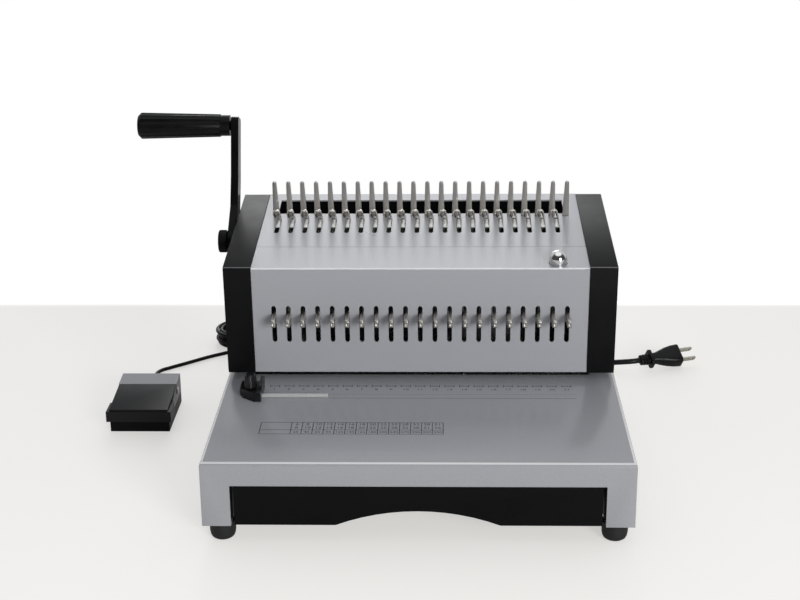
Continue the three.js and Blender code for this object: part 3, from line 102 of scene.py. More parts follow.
# Mains lead: black PVC flex, 6 mm thick and 1.8 m long, from the rear panel to a two-pin plug. What
# isn't laid out to the plug is wound into a round coil behind the machine, held by a strap.
def feed(tree, node, given):
    """Set a shader node's inputs. Each is given a value, or the output that is linked to it."""
    for socket, value in given.items():
        if isinstance(value, bpy.types.NodeSocket):
            tree.links.new(value, node.inputs[socket])
        else:
            node.inputs[socket].default_value = value
    return node


def added(tree, kind, given=None, **settings):
    """New shader node of a kind, with its settings and its inputs."""
    node = tree.nodes.new("ShaderNode" + kind)
    for label, value in settings.items():
        setattr(node, label, value)
    return feed(tree, node, given or {})


def ramp(tree, source, first, last, low=0.0, high=1.0, smooth=False):
    """Output that goes from low to high while the source goes from first to last, and stays level outside."""
    given = {"Value": source, "From Min": first, "From Max": last, "To Min": low, "To Max": high}
    interpolation = "SMOOTHSTEP" if smooth else "LINEAR"
    return added(tree, "MapRange", given, interpolation_type=interpolation).outputs["Result"]


def reckoned(tree, operation, first, second, clamp=False):
    """Output of a maths node that takes two values."""
    return added(tree, "Math", {0: first, 1: second}, operation=operation, use_clamp=clamp).outputs["Value"]


def finish_group():
    """Shader group for the patchy, grained skin that every finish here has, from a coarse and a fine noise.
    Colour = Base drawn towards Worn by the greater of two shares, the coarse noise times Patches and the standing
    edges times Edge, plus the fine noise times Fleck. Roughness runs from Smooth to Rough with the coarse noise.
    Height is the fine noise."""
    tree = bpy.data.node_groups.new("skin of a finish", "ShaderNodeTree")
    for side, kind, labels in [
        ("INPUT", "Color", ["Base", "Worn"]),
        ("INPUT", "Float", ["Patches", "Edge", "Patch Scale", "Grain Scale", "Smooth", "Rough", "Fleck"]),
        ("OUTPUT", "Color", ["Color"]),
        ("OUTPUT", "Float", ["Roughness", "Height"]),
    ]:
        for label in labels:
            tree.interface.new_socket(name=label, in_out=side, socket_type="NodeSocket" + kind)
    given = tree.nodes.new("NodeGroupInput").outputs
    place = added(tree, "TexCoord").outputs["Object"]
    coarse = {"Vector": place, "Scale": given["Patch Scale"], "Detail": 6, "Roughness": 0.6}
    patches = ramp(tree, added(tree, "TexNoise", coarse).outputs["Fac"], 0.3, 0.75)
    fine = {"Vector": place, "Scale": given["Grain Scale"], "Detail": 3}
    grain = added(tree, "TexNoise", fine).outputs["Fac"]
    edge = ramp(tree, added(tree, "NewGeometry").outputs["Pointiness"], 0.54, 0.62)
    worn_patches = reckoned(tree, "MULTIPLY", patches, given["Patches"])
    worn_edge = reckoned(tree, "MULTIPLY", edge, given["Edge"])
    worn = reckoned(tree, "MAXIMUM", worn_patches, worn_edge)
    flecks = ramp(tree, grain, 0.35, 0.65, high=given["Fleck"])
    share = reckoned(tree, "ADD", worn, flecks, clamp=True)
    colour = added(tree, "Mix", {"Factor": share, "A": given["Base"], "B": given["Worn"]}, data_type="RGBA")
    gloss = ramp(tree, patches, 0.0, 1.0, given["Smooth"], given["Rough"])
    result = {"Color": colour.outputs["Result"], "Roughness": gloss, "Height": grain}
    feed(tree, tree.nodes.new("NodeGroupOutput"), result)
    return tree


skin_of_finish = finish_group()


def finish(name, base, worn, patches=0.4, edge=0.0, patch_scale=60, grain_scale=2400, smooth=0.35, rough=0.5,
           bump=0.1, depth=0.0001, metallic=0.0, specular=0.5, fleck=0.0):
    """Material of one finish: the skin group feeds colour, roughness and a bump of the stated depth in metres."""
    material = bpy.data.materials.new(name)
    material.use_nodes = True
    tree = material.node_tree
    skin = added(tree, "Group", {
        "Base": (*base, 1), "Worn": (*worn, 1), "Patches": patches, "Edge": edge, "Patch Scale": patch_scale,
        "Grain Scale": grain_scale, "Smooth": smooth, "Rough": rough, "Fleck": fleck,
    }, node_tree=skin_of_finish)
    grain = added(tree, "Bump", {"Height": skin.outputs["Height"], "Strength": bump, "Distance": depth})
    feed(tree, tree.nodes["Principled BSDF"], {
        "Base Color": skin.outputs["Color"], "Roughness": skin.outputs["Roughness"],
        "Normal": grain.outputs["Normal"], "Metallic": metallic, "Specular IOR Level": specular,
    })
    return material


def piece_of_form(name, form, crisp, *materials):
    """Piece made of a bmesh, which is freed: smooth, but edges that turn by more than crisp degrees stay sharp."""
    mesh = bpy.data.meshes.new(name)
    form.to_mesh(mesh)
    form.free()
    for material in materials:
        mesh.materials.append(material)
    mesh.shade_smooth()
    mesh.set_sharp_from_angle(angle=math.radians(crisp))
    return in_scene(name, mesh)


def piece_of_points(name, points, faces, crisp, material):
    """Piece made of points and closed faces, which are turned outward."""
    draft = bpy.data.meshes.new(name + " draft")
    draft.from_pydata(points.tolist(), [], faces)
    form = bmesh.new()
    form.from_mesh(draft)
    bpy.data.meshes.remove(draft)
    bmesh.ops.recalc_face_normals(form, faces=form.faces)
    return piece_of_form(name, form, crisp, material)


def lofted(name, lofts, material, body, crisp=35):
    """One mesh of closed tubes. A tube is an array of rings of points: quads join each ring to the next, wrapped
    round, and one face closes each end. Edges that turn by more than crisp degrees stay sharp."""
    points, faces = [], []
    first = 0
    for rings in lofts:
        count, sides = rings.shape[:2]
        ring = np.arange(count - 1)[:, None] * sides + first
        side = np.arange(sides)[None, :]
        after = (side + 1) % sides
        quads = np.stack([ring + side, ring + after, ring + sides + after, ring + sides + side], axis=-1)
        points.append(rings.reshape(-1, 3))
        faces.extend(quads.reshape(-1, 4).tolist())
        faces.append((np.arange(sides)[::-1] + first).tolist())
        faces.append((np.arange(sides) + first + (count - 1) * sides).tolist())
        first += count * sides
    piece = piece_of_points(name, np.concatenate(points), faces, crisp, material)
    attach(piece, body)
    return piece


def coil_path(diameter, middle_radius, turns, start, hand, centre, gap=0.0006, layers=4, steps_a_turn=22):
    """Coil of four layers. The radius runs in and out once a pair of layers, one pitch a turn, and the height
    climbs one pitch in the half turn where it turns back. A straight lead of one diameter ends it at each side."""
    pitch = diameter + gap
    layer_turns = turns / layers
    turn = np.linspace(0, turns, round(turns * steps_a_turn) + 1)
    radius = middle_radius + layer_turns * pitch * (np.abs((turn / layer_turns) % 2 - 1) - 0.5)
    share = np.clip((turn[:, None] - np.arange(1, layers)[None, :] * layer_turns) * 2 + 0.5, 0, 1)
    climb = (share * share * (3 - 2 * share)).sum(axis=1)
    angle = start + hand * 2 * np.pi * turn
    spots = np.stack([centre[0] + radius * np.cos(angle), centre[1] + radius * np.sin(angle),
                      diameter / 2 + climb * pitch], axis=1)
    tangent = np.stack([-hand * np.sin(angle), hand * np.cos(angle), np.zeros_like(angle)], axis=1)
    first = spots[:1] - tangent[:1] * diameter
    last = spots[-1:] + tangent[-1:] * diameter
    return np.concatenate([first, spots, last])


def flex(name, points, diameter, material):
    """Round flex as one curve through all its points, as thick as its diameter."""
    line = bpy.data.curves.new(name, "CURVE")
    line.dimensions = "3D"
    line.bevel_depth = diameter / 2
    line.bevel_resolution = 4
    line.resolution_u = 5
    line.use_fill_caps = True
    run = line.splines.new("BEZIER")
    run.bezier_points.add(len(points) - 1)
    run.bezier_points.foreach_set("co", points.ravel())
    for knot in run.bezier_points:
        knot.handle_left_type = "AUTO"
        knot.handle_right_type = "AUTO"
    line.materials.append(material)
    return in_scene(name, line)


def strap(name, centre, angle, radius, half_width, height, width, thickness, material):
    """Strap round a coil's section: a band whose middle line is a rounded rectangle in the upright plane through
    the coil's axis, from the floor to the coil's top, and whose section is a flat rounded bar."""
    steps = 48
    around = np.linspace(0, 2 * np.pi, steps, endpoint=False)
    power = 0.45
    flat = half_width * np.sign(np.cos(around)) * np.abs(np.cos(around)) ** power
    rise = height / 2 * (1 + np.sign(np.sin(around)) * np.abs(np.sin(around)) ** power)
    out = np.array([math.cos(angle), math.sin(angle), 0.0])
    side = np.array([-math.sin(angle), math.cos(angle), 0.0])
    line = (np.array([centre[0], centre[1], 0.0]) + out * radius + flat[:, None] * out
            + (rise[:, None] + thickness / 2) * np.array([0, 0, 1.0]))
    forward = np.roll(line, -1, axis=0) - np.roll(line, 1, axis=0)
    forward /= np.linalg.norm(forward, axis=1)[:, None]
    normal = np.cross(forward, side)
    corner = np.array([[-1, -1], [-0.6, -1.25], [0.6, -1.25], [1, -1], [1, 1], [0.6, 1.25], [-0.6, 1.25], [-1, 1]])
    section = (corner[:, 0][None, :, None] * side * width / 2
               + corner[:, 1][None, :, None] * normal[:, None, :] * thickness / 2.5)
    rings = line[:, None, :] + section
    count, sides = rings.shape[:2]
    ring = np.arange(count)[:, None]
    edge = np.arange(sides)[None, :]
    quads = np.stack([ring * sides + edge, ring * sides + (edge + 1) % sides,
                      (ring + 1) % count * sides + (edge + 1) % sides, (ring + 1) % count * sides + edge], axis=-1)
    piece = piece_of_points(name, rings.reshape(-1, 3), quads.reshape(-1, 4).tolist(), 50, material)
    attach(piece, "machine")


flex_skin = finish("black PVC flex", (0.004, 0.004, 0.0045), (0.014, 0.014, 0.014), patch_scale=160,
                   smooth=0.32, rough=0.46, bump=0.12, depth=0.0002, specular=0.2)
strap_skin = finish("black hook and loop strap", (0.01, 0.01, 0.011), (0.035, 0.035, 0.036), patches=0.8,
                    edge=0.1, patch_scale=1200, grain_scale=4000, smooth=0.75, rough=0.95, bump=0.8,
                    depth=0.0004)

mains_diameter = 0.006
mains_coil_centre = (0.060, 0.472)
mains_coil_radius = 0.0315
mains_coil = coil_path(mains_diameter, mains_coil_radius, 7.5, -math.pi / 2, -1, mains_coil_centre)
mains_from_panel = np.array([
    (0.1300, 0.4176, 0.0450), (0.1300, 0.4290, 0.0446), (0.1300, 0.4390, 0.0420), (0.1305, 0.4500, 0.0340),
    (0.1310, 0.4600, 0.0230), (0.1310, 0.4710, 0.0115), (0.1295, 0.4830, 0.0046), (0.1250, 0.4950, 0.0034),
    (0.1160, 0.5040, 0.0034), (0.1040, 0.5085, 0.0055), (0.0910, 0.5096, 0.0120), (0.0790, 0.5098, 0.0190),
])
mains_to_plug = np.array([
    (0.0880, 0.4345, 0.0030), (0.1050, 0.4347, 0.0030), (0.1230, 0.4347, 0.0030), (0.1410, 0.4342, 0.0030),
    (0.1580, 0.4326, 0.0030), (0.1740, 0.4296, 0.0030), (0.1880, 0.4256, 0.0036), (0.2010, 0.4210, 0.0056),
    (0.2130, 0.4164, 0.0082), (0.2250, 0.4126, 0.0104),
])
plug_yaw = math.radians(19.4)
plug_tilt = math.radians(55)
plug_width = 0.024
plug_thick = 0.015
plug_round = 0.004
plug_clear = 0.0002
plug_rest = (plug_clear + plug_round + (plug_width / 2 - plug_round) * math.cos(plug_tilt)
             + (plug_thick / 2 - plug_round) * math.sin(plug_tilt))
plug_place = np.array([0.2448, 0.4145, plug_rest])
plug_back = np.array([-math.cos(plug_yaw), -math.sin(plug_yaw), 0.0])
mains_in_neck = [plug_place + plug_back * 0.008, plug_place + plug_back * 0.0003]
mains_route = np.concatenate([mains_from_panel, mains_coil[::-1], mains_to_plug, mains_in_neck]) + origin
mains_lead = flex("mains_lead", mains_route, mains_diameter, flex_skin)
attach(mains_lead, "machine")
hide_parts("mains_lead_inner", "mains_coil", "mains_lead_outer")
strap("mains_lead_strap", np.array(mains_coil_centre) + origin[:2], math.radians(35), mains_coil_radius,
      half_width=0.0100, height=0.0262, width=0.014, thickness=0.0012, material=strap_skin)

# Mains plug: moulded PVC, ribbed at the neck, with a finger flange and a body that widens to its
# face; two flat plated pins with holes. It lies on the surface, tipped onto one edge.
plug_skin = finish("moulded plug", (0.004, 0.004, 0.0045), (0.014, 0.014, 0.015), patches=0.35, edge=0.5,
                   patch_scale=140, grain_scale=2600, smooth=0.28, rough=0.42, depth=0.0002, specular=0.2)
pin_metal = finish("plated pins", (0.55, 0.52, 0.46), (0.42, 0.38, 0.30), patches=0.5, edge=0.2,
                   patch_scale=300, grain_scale=3000, smooth=0.18, rough=0.34, bump=0.05, metallic=1.0)


def plug_turn(points):
    """Points of the plug, made along X with its width up Z, tipped about its own axis, turned and set down."""
    tip = np.array([[1, 0, 0], [0, math.cos(plug_tilt), math.sin(plug_tilt)],
                    [0, -math.sin(plug_tilt), math.cos(plug_tilt)]])
    turn = np.array([[math.cos(plug_yaw), -math.sin(plug_yaw), 0], [math.sin(plug_yaw), math.cos(plug_yaw), 0],
                     [0, 0, 1]])
    return points @ tip.T @ turn.T + plug_place + origin


def round_corners(steps):
    """Turns of the points round a rounded rectangle, some steps to a corner, and the two signs of each corner."""
    quarter = np.linspace(0, np.pi / 2, steps)
    turn = np.concatenate([quarter + k * np.pi / 2 for k in range(4)])
    return turn, np.repeat([1, -1, -1, 1], steps), np.repeat([1, 1, -1, -1], steps)


def rounded_ring(x, width, thick, bend):
    """Rounded rectangle square to X: four quarter circles of the bend's radius, width up Z and thick along Y."""
    turn, sign_y, sign_z = round_corners(5)
    y = sign_y * (thick / 2 - bend) + bend * np.cos(turn)
    z = sign_z * (width / 2 - bend) + bend * np.sin(turn)
    return np.stack([np.full_like(y, x), y, z], axis=1)


plug_sections = [
    (0.0000, 0.0100, 0.0082, 0.0034), (0.0006, 0.0118, 0.0094, 0.0040),
    (0.0020, 0.0118, 0.0094, 0.0040), (0.0025, 0.0098, 0.0080, 0.0034), (0.0034, 0.0098, 0.0080, 0.0034),
    (0.0039, 0.0122, 0.0096, 0.0040), (0.0053, 0.0122, 0.0096, 0.0040), (0.0058, 0.0102, 0.0084, 0.0036),
    (0.0067, 0.0102, 0.0084, 0.0036), (0.0072, 0.0126, 0.0100, 0.0042), (0.0088, 0.0126, 0.0100, 0.0042),
    (0.0094, 0.0108, 0.0088, 0.0038), (0.0108, 0.0112, 0.0092, 0.0040),
    (0.0113, 0.0196, 0.0142, 0.0040), (0.0128, 0.0200, 0.0145, 0.0042), (0.0143, 0.0196, 0.0142, 0.0040),
    (0.0148, 0.0118, 0.0106, 0.0040), (0.0200, 0.0126, 0.0118, 0.0042), (0.0250, 0.0158, 0.0136, 0.0044),
    (0.0320, 0.0200, 0.0146, 0.0042), (0.0400, 0.0232, 0.0149, 0.0040), (0.0474, 0.0240, 0.0150, 0.0038),
    (0.0485, 0.0236, 0.0146, 0.0034), (0.0490, 0.0222, 0.0134, 0.0030),
]
plug_body = np.stack([rounded_ring(*section) for section in plug_sections])
mains_plug = lofted("mains_plug_body", [plug_turn(plug_body)], plug_skin, "machine", crisp=60)
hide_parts("mains_plug")

pin_length = 0.018
pin_height = 0.0064
pin_thick = 0.0016
pin_spacing = 0.0127
pin_hole = 0.0016
pin_hole_back = 0.004
pin_root = 0.001
pin_tip_drawn = 0.0012


def pin_half(side, hand):
    """Half of a pin, above or below its hole's middle: a flat bar whose inner edge goes round half the hole."""
    face = plug_sections[-1][0]
    eye = face + pin_length - pin_hole_back
    bend = np.linspace(np.pi, 0, 13)
    x = np.concatenate([[face - pin_root], eye + pin_hole * np.cos(bend), [face + pin_length]])
    inner = np.concatenate([[0], pin_hole * np.sin(bend), [0]])
    outer = np.full_like(x, pin_height / 2)
    outer[-1] -= pin_tip_drawn
    low = np.full_like(x, (hand * pin_spacing - pin_thick) / 2)
    high = low + pin_thick
    ring = np.stack([np.stack([x, side * y, z], axis=1)
                     for y, z in [(inner, low), (outer, low), (outer, high), (inner, high)]], axis=1)
    return plug_turn(ring)


plug_pins = lofted("mains_plug_pins", [pin_half(side, hand) for side in (-1, 1) for hand in (-1, 1)], pin_metal,
                   "machine", crisp=30)

# Pedal lead: thinner black flex, 1.5 m long, from the rear panel to the pedal's tail. Its spare
# length is a strapped coil behind the left cap, which hides most of it.
pedal_diameter = 0.0042
pedal_coil_centre = (-0.219, 0.503)
pedal_coil_radius = 0.024
pedal_coil = coil_path(pedal_diameter, pedal_coil_radius, 7 + 11 / 12, -math.pi / 3, 1, pedal_coil_centre)
pedal_from_panel = np.array([
    (-0.1500, 0.4096, 0.0450), (-0.1500, 0.4200, 0.0442), (-0.1502, 0.4300, 0.0395), (-0.1508, 0.4390, 0.0300),
    (-0.1520, 0.4470, 0.0180), (-0.1545, 0.4560, 0.0080), (-0.1600, 0.4650, 0.0027), (-0.1690, 0.4715, 0.0021),
    (-0.1810, 0.4740, 0.0034), (-0.1930, 0.4746, 0.0086), (-0.2030, 0.4745, 0.0140),
])
pedal_from_tail = np.array([
    (-0.2935, 0.3415, 0.0060), (-0.2937, 0.3485, 0.0054), (-0.2951, 0.3610, 0.0030), (-0.2976, 0.3730, 0.0021),
    (-0.3012, 0.3850, 0.0021), (-0.3024, 0.3950, 0.0021), (-0.2990, 0.4055, 0.0021), (-0.2900, 0.4140, 0.0021),
    (-0.2780, 0.4240, 0.0021), (-0.2640, 0.4360, 0.0021), (-0.2490, 0.4485, 0.0021), (-0.2360, 0.4575, 0.0021),
    (-0.2220, 0.4668, 0.0021),
])
pedal_route = np.concatenate([pedal_from_panel, pedal_coil[::-1], pedal_from_tail[::-1]]) + origin
pedal_lead = flex("pedal_lead", pedal_route, pedal_diameter, flex_skin)
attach(pedal_lead, "machine")
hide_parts("pedal_lead_inner", "pedal_coil", "pedal_lead_outer")
strap("pedal_lead_strap", np.array(pedal_coil_centre) + origin[:2], math.radians(70), pedal_coil_radius,
      half_width=0.0082, height=0.0192, width=0.012, thickness=0.0010, material=strap_skin)

# Base cover: one folded steel sheet in satin silver paint, the paper table on top and skirts down to the
# feet. A ruler with a number at each punch hole and a table of plain numbers are screen printed on it.
merge_reach = 0.000001


def eased(node, material, width=0.0004, crisp=35, segments=2, flat=0.4, along=None):
    """Copy of a CAD node's mesh, its doubled points merged and faces that turn by less than flat degrees joined,
    with its sharp edges eased by a bevel and its round faces shaded smooth. It stands for the node and rides
    with it. Where along is given, a test of an edge's middle, only the sharp edges that pass it are eased."""
    source = frame["nodes"][node]
    form = bmesh.new()
    form.from_mesh(source.data)
    bmesh.ops.remove_doubles(form, verts=form.verts, dist=merge_reach)
    if flat:
        bmesh.ops.dissolve_limit(form, angle_limit=math.radians(flat), verts=form.verts, edges=form.edges)
    for face in form.faces:
        face.material_index = 0
    if along:
        share = form.edges.layers.float.new("bevel_weight_edge")
        for edge in form.edges:
            middle = (edge.verts[0].co + edge.verts[1].co) / 2
            if edge.calc_face_angle(0) > math.radians(crisp) and along(middle):
                edge[share] = 1.0
    piece = piece_of_form(node + "_eased", form, crisp, material)
    if width:
        bevel = piece.modifiers.new("eased edges", "BEVEL")
        bevel.width = width
        bevel.segments = segments
        bevel.limit_method = "WEIGHT" if along else "ANGLE"
        bevel.angle_limit = math.radians(crisp)
        bevel.harden_normals = True
    if along:
        level = piece.modifiers.new("level faces", "WEIGHTED_NORMAL")
        level.keep_sharp = True
        level.weight = 100
    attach(piece, source["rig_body"])
    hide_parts(node)
    return piece


silver_paint = finish("satin silver paint", (0.382, 0.386, 0.410), (0.48, 0.485, 0.51), patches=0.04,
                      patch_scale=9, grain_scale=1430, smooth=0.27, rough=0.31, bump=0.08, depth=0.0002,
                      metallic=0.12, fleck=0.35)
table_paint = finish("smoother silver paint", (0.378, 0.382, 0.406), (0.48, 0.485, 0.51), patches=0.04,
                     edge=0.2, patch_scale=9, grain_scale=1430, smooth=0.19, rough=0.23, bump=0.05,
                     depth=0.0002, metallic=0.12, fleck=0.35)
# Painted highlight: a pale paint on the bends of the base and on the fold of the front cover stands for the light
# they catch.
painted_bend_highlight = finish("painted highlight on a bend", (0.80, 0.80, 0.81), (0.90, 0.90, 0.90), patches=0.3,
                      edge=0.2, grain_scale=1500, smooth=0.3, rough=0.4, bump=0.02)


def on_bends(piece, material, low, facing=1.0):
    """Second material, a painted highlight, for a piece's bends: faces above a height, neither upright nor level,
    whose normal's Y is less than facing."""
    piece.data.materials.append(material)
    for side in piece.data.polygons:
        if side.center.z > low and side.normal.y < facing and 0.4 < side.normal.z < 0.94:
            side.material_index = 1


# The bends along the table's edges get the painted highlight.
on_bends(eased("base_cover", table_paint, width=0.0003), painted_bend_highlight, 0.070)

table_top = 0.080
print_rise = 0.00003
ink = finish("grey printing ink", (0.012, 0.012, 0.015), (0.06, 0.06, 0.065), patches=0.6, patch_scale=500,
             grain_scale=3000, smooth=0.5, rough=0.65, bump=0.02)


def printed_bars(name, bars):
    """Thin printed bars on the table in one mesh: each is x0, x1, y0, y1 from the table's middle and front."""
    corners = np.array([[0, 2], [1, 2], [1, 3], [0, 3]])
    flat = np.asarray(bars)[:, corners] + origin[:2]
    low = np.concatenate([flat, np.full((*flat.shape[:2], 1), table_top)], axis=2)
    high = low + [0, 0, print_rise]
    points = np.concatenate([low, high], axis=1)
    sides = np.array([[3, 2, 1, 0], [4, 5, 6, 7], [0, 1, 5, 4], [1, 2, 6, 5], [2, 3, 7, 6], [3, 0, 4, 7]])
    faces = sides[None, :, :] + np.arange(len(points))[:, None, None] * 8
    mesh = bpy.data.meshes.new(name)
    mesh.from_pydata(points.reshape(-1, 3).tolist(), [], faces.reshape(-1, 4).tolist())
    mesh.materials.append(ink)
    piece = in_scene(name, mesh)
    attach(piece, "machine")


def printed_numbers(name, entries, height):
    """Printed numbers in one mesh: each entry is a text with its middle, x and y, on the table."""
    form = bmesh.new()
    for text, x, y in entries:
        line = bpy.data.curves.new(name, "FONT")
        line.body = text
        line.size = height
        line.resolution_u = 3
        line.align_x = "CENTER"
        line.align_y = "CENTER"
        line.extrude = print_rise / 2
        letters = bpy.data.objects.new(name, line)
        letter_mesh = bpy.data.meshes.new_from_object(letters)
        letter_mesh.transform(Matrix.Translation((x + origin[0], y + origin[1], table_top + print_rise / 2)))
        form.from_mesh(letter_mesh)
        bpy.data.objects.remove(letters)
        bpy.data.meshes.remove(letter_mesh)
    mesh = bpy.data.meshes.new(name)
    form.to_mesh(mesh)
    form.free()
    mesh.materials.append(ink)
    piece = in_scene(name, mesh)
    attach(piece, "machine")


hole_pitch = 0.0142875
hole_count = 21
hole_x = (np.arange(hole_count) - (hole_count - 1) / 2) * hole_pitch
ruler_line = 0.0008
bracket_half = 0.0044
bracket_y = 0.1755
bracket_tick = 0.0050
bracket_gap = 0.0013
bracket_step = 0.0018
bracket_dash = 0.0011
number_y = 0.1672
number_height = 0.0062
dash_y = 0.1547
dash_step = 0.0036
dash_length = 0.0020
dash_width = 0.0004
rule_y = 0.1452
rule_width = 0.0005
rule_left = -0.0880
rule_right = 0.1500
bars = []
for middle in hole_x:
    for hand in (-1, 1):
        tick = middle + hand * bracket_half
        bars.append((tick - ruler_line / 2, tick + ruler_line / 2, bracket_y - bracket_tick / 2,
                     bracket_y + bracket_tick / 2))
    for part in range(4):
        start = middle - bracket_half + bracket_gap + part * bracket_step
        bars.append((start, start + bracket_dash, bracket_y - ruler_line, bracket_y + ruler_line))
for start in np.arange(rule_left, rule_right, dash_step):
    bars.append((start, start + dash_length, dash_y, dash_y + dash_width))
bars.append((rule_left, rule_right, rule_y, rule_y + rule_width))
printed_bars("ruler_marks", bars)
printed_numbers("ruler_numbers", [(str(k + 1), x, number_y) for k, x in enumerate(hole_x)], number_height)

chart_left = -0.1467
chart_label = -0.1181
chart_right = 0.0225
chart_rear = 0.0880
chart_front = 0.0623
chart_row = 0.0715
chart_line = 0.0007
sizes_y = 0.0839
next_sizes_y = 0.0764
counts_y = 0.0667
size_height = 0.0064
count_height = 0.0053
comb_sizes = (6, 8, 10, 12, 14, 16, 18, 20, 22, 25, 28, 32, 38, 51)
next_sizes = comb_sizes[1:] + (56,)
sheet_counts = (25, 45, 65, 95, 125, 145, 165, 180, 200, 240, 270, 300, 350, 500)
columns = np.linspace(chart_label, chart_right, len(comb_sizes) + 1)
bars = [(x - chart_line / 2, x + chart_line / 2, chart_front, chart_rear) for x in (chart_left, *columns)]
bars += [(chart_left, chart_right, y - chart_line / 2, y + chart_line / 2)
         for y in (chart_front, chart_row, chart_rear)]
printed_bars("chart_lines", bars)
column_middles = (columns[1:] + columns[:-1]) / 2
entries = [(str(size), x, sizes_y) for size, x in zip(comb_sizes, column_middles)]
entries += [(str(size), x, next_sizes_y) for size, x in zip(next_sizes, column_middles)]
printed_numbers("chart_sizes", entries, size_height)
entries = [(str(count), x, counts_y) for count, x in zip(sheet_counts, column_middles)]
printed_numbers("chart_counts", entries, count_height)

# Feet: four round moulded rubber feet, tapered a little and rounded at the bottom, under the skirts'
# turned lips.
foot_rubber = finish("moulded rubber", (0.006, 0.006, 0.006), (0.02, 0.02, 0.02), edge=0.4, patch_scale=90,
                     grain_scale=2200, smooth=0.5, rough=0.75, bump=0.25, depth=0.0002)
foot_across = 0.1766
foot_front = 0.016
foot_rear = 0.369
foot_sides = 40
foot_places = {"foot_front_left": (-foot_across, foot_front), "foot_front_right": (foot_across, foot_front),
               "foot_rear_left": (-foot_across, foot_rear), "foot_rear_right": (foot_across, foot_rear)}
# Each station: radius, then height.
foot_stations = [(0.0068, 0.0), (0.0087, 0.0006), (0.0102, 0.0018), (0.0112, 0.0038), (0.0118, 0.0070),
                 (0.0121, 0.0178)]


def lathe_rings(profile, sides):
    """Rings round the third axis, one for each radius and height of a profile."""
    turn = np.linspace(0, 2 * np.pi, sides, endpoint=False)
    radius, height = np.asarray(profile).T
    return np.stack([radius[:, None] * np.cos(turn), radius[:, None] * np.sin(turn),
                     np.broadcast_to(height[:, None], (len(radius), sides))], axis=-1)


for foot, (x, y) in foot_places.items():
    rings = lathe_rings(foot_stations, foot_sides) + (x, y, 0.0) + origin
    rubber = lofted(foot + "_rubber", [rings], foot_rubber, "machine", crisp=50)
    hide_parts(foot)

# Chip drawer: folded steel tray, black enamelled, under the table. Its front has an arched finger
# opening and it slides on two runners.
black_enamel = finish("black enamel", (0.0035, 0.0035, 0.004), (0.012, 0.012, 0.013), patches=0.3, edge=0.6,
                      patch_scale=25, grain_scale=1800, smooth=0.25, rough=0.36, bump=0.12, depth=0.0002,
                      specular=0.08)
eased("chip_drawer", black_enamel, width=0.0003)

# Inner steel: chassis plates coloured near black, a painted shade for what shows through gaps between the
# shells, with the die block, the punch ram with its 21 punches and the eccentric shaft in ground steel, all inside
# the tower.
ground_steel = finish("ground steel", (0.46, 0.46, 0.46), (0.33, 0.32, 0.31), patches=0.5, edge=0.2,
                      patch_scale=90, grain_scale=2600, smooth=0.2, rough=0.36, bump=0.06, metallic=1.0)
chassis_painted_shade = finish("near-black steel as painted shade", (0.035, 0.035, 0.038), (0.02, 0.02, 0.02), patches=0.5, edge=0.2,
                    grain_scale=1600, smooth=0.45, rough=0.6, depth=0.0002, metallic=0.4)
eased("chassis_frame", chassis_painted_shade, width=0.0002)
eased("die_block", ground_steel, width=0.0)
eased("punch_ram", ground_steel, width=0.0)
eased("eccentric_shaft", ground_steel, width=0.0003)

# Gear motor: cast gearbox and a round motor in grey paint, on the chassis behind the ram; it turns the
# eccentric shaft.
motor_paint = finish("grey motor paint", (0.10, 0.11, 0.115), (0.20, 0.21, 0.21), edge=0.4, patch_scale=40,
                     grain_scale=1200, smooth=0.4, rough=0.6, bump=0.3, depth=0.0003)
eased("drive_motor", motor_paint, width=0.0008)

# Front and deck covers: two bent steel sheets in the base's silver paint, screwed to the chassis, with
# a fine seam between them across the deck.
fold_y, fold_z = 0.1852, 0.1987
fold_reach = 0.0002


def on_fold(middle):
    """Whether an edge's middle lies on the outer line of the fold between the face and the deck."""
    return abs(middle.y - origin[1] - fold_y) < fold_reach and abs(middle.z - fold_z) < fold_reach


# The fold between face and deck is bevelled, and its bevel gets the painted highlight.
front_sheet = eased("front_cover", silver_paint, width=0.0011, segments=4, crisp=20, along=on_fold)
front_sheet.data.materials.append(painted_bend_highlight)
front_sheet.modifiers["eased edges"].material = 1
eased("deck_cover", silver_paint, width=0.0, crisp=20, flat=0)

# End caps: moulded black shells with a fine grain, clipped over both ends of the covers. Their front
# upper edge has a painted highlight, a paler grey on its bend.
cap_plastic = finish("grained black plastic", (0.0035, 0.0035, 0.004), (0.012, 0.012, 0.013), patches=0.3,
                     edge=0.6, patch_scale=35, grain_scale=1700, smooth=0.36, rough=0.44, bump=0.15,
                     depth=0.0002, specular=0.12)
painted_edge_highlight = finish("painted highlight on a moulded edge", (0.13, 0.13, 0.135), (0.16, 0.16, 0.165), patches=0.3,
                    grain_scale=1700, rough=0.45, bump=0.02)
for cap in ("end_cap_left", "end_cap_right"):
    on_bends(eased(cap, cap_plastic, width=0.0012, segments=3), painted_edge_highlight, 0.190, facing=-0.3)

# Pull tabs: 21 flat bars of nickel-plated steel that stick out of the face slots, with a rounded, dimpled
# head and a narrower neck in the slot. Pulling one takes its punch out of use.
nickel = finish("nickel plating", (0.56, 0.54, 0.50), (0.42, 0.40, 0.36), edge=0.2, patch_scale=160,
                smooth=0.36, rough=0.48, bump=0.02, metallic=1.0)
tab_shift = 0.0010
tab_foot = 0.1434
tab_tall = 0.0086
tab_nose = 0.1672
tab_tail = 0.2380
tab_corner = 0.0007
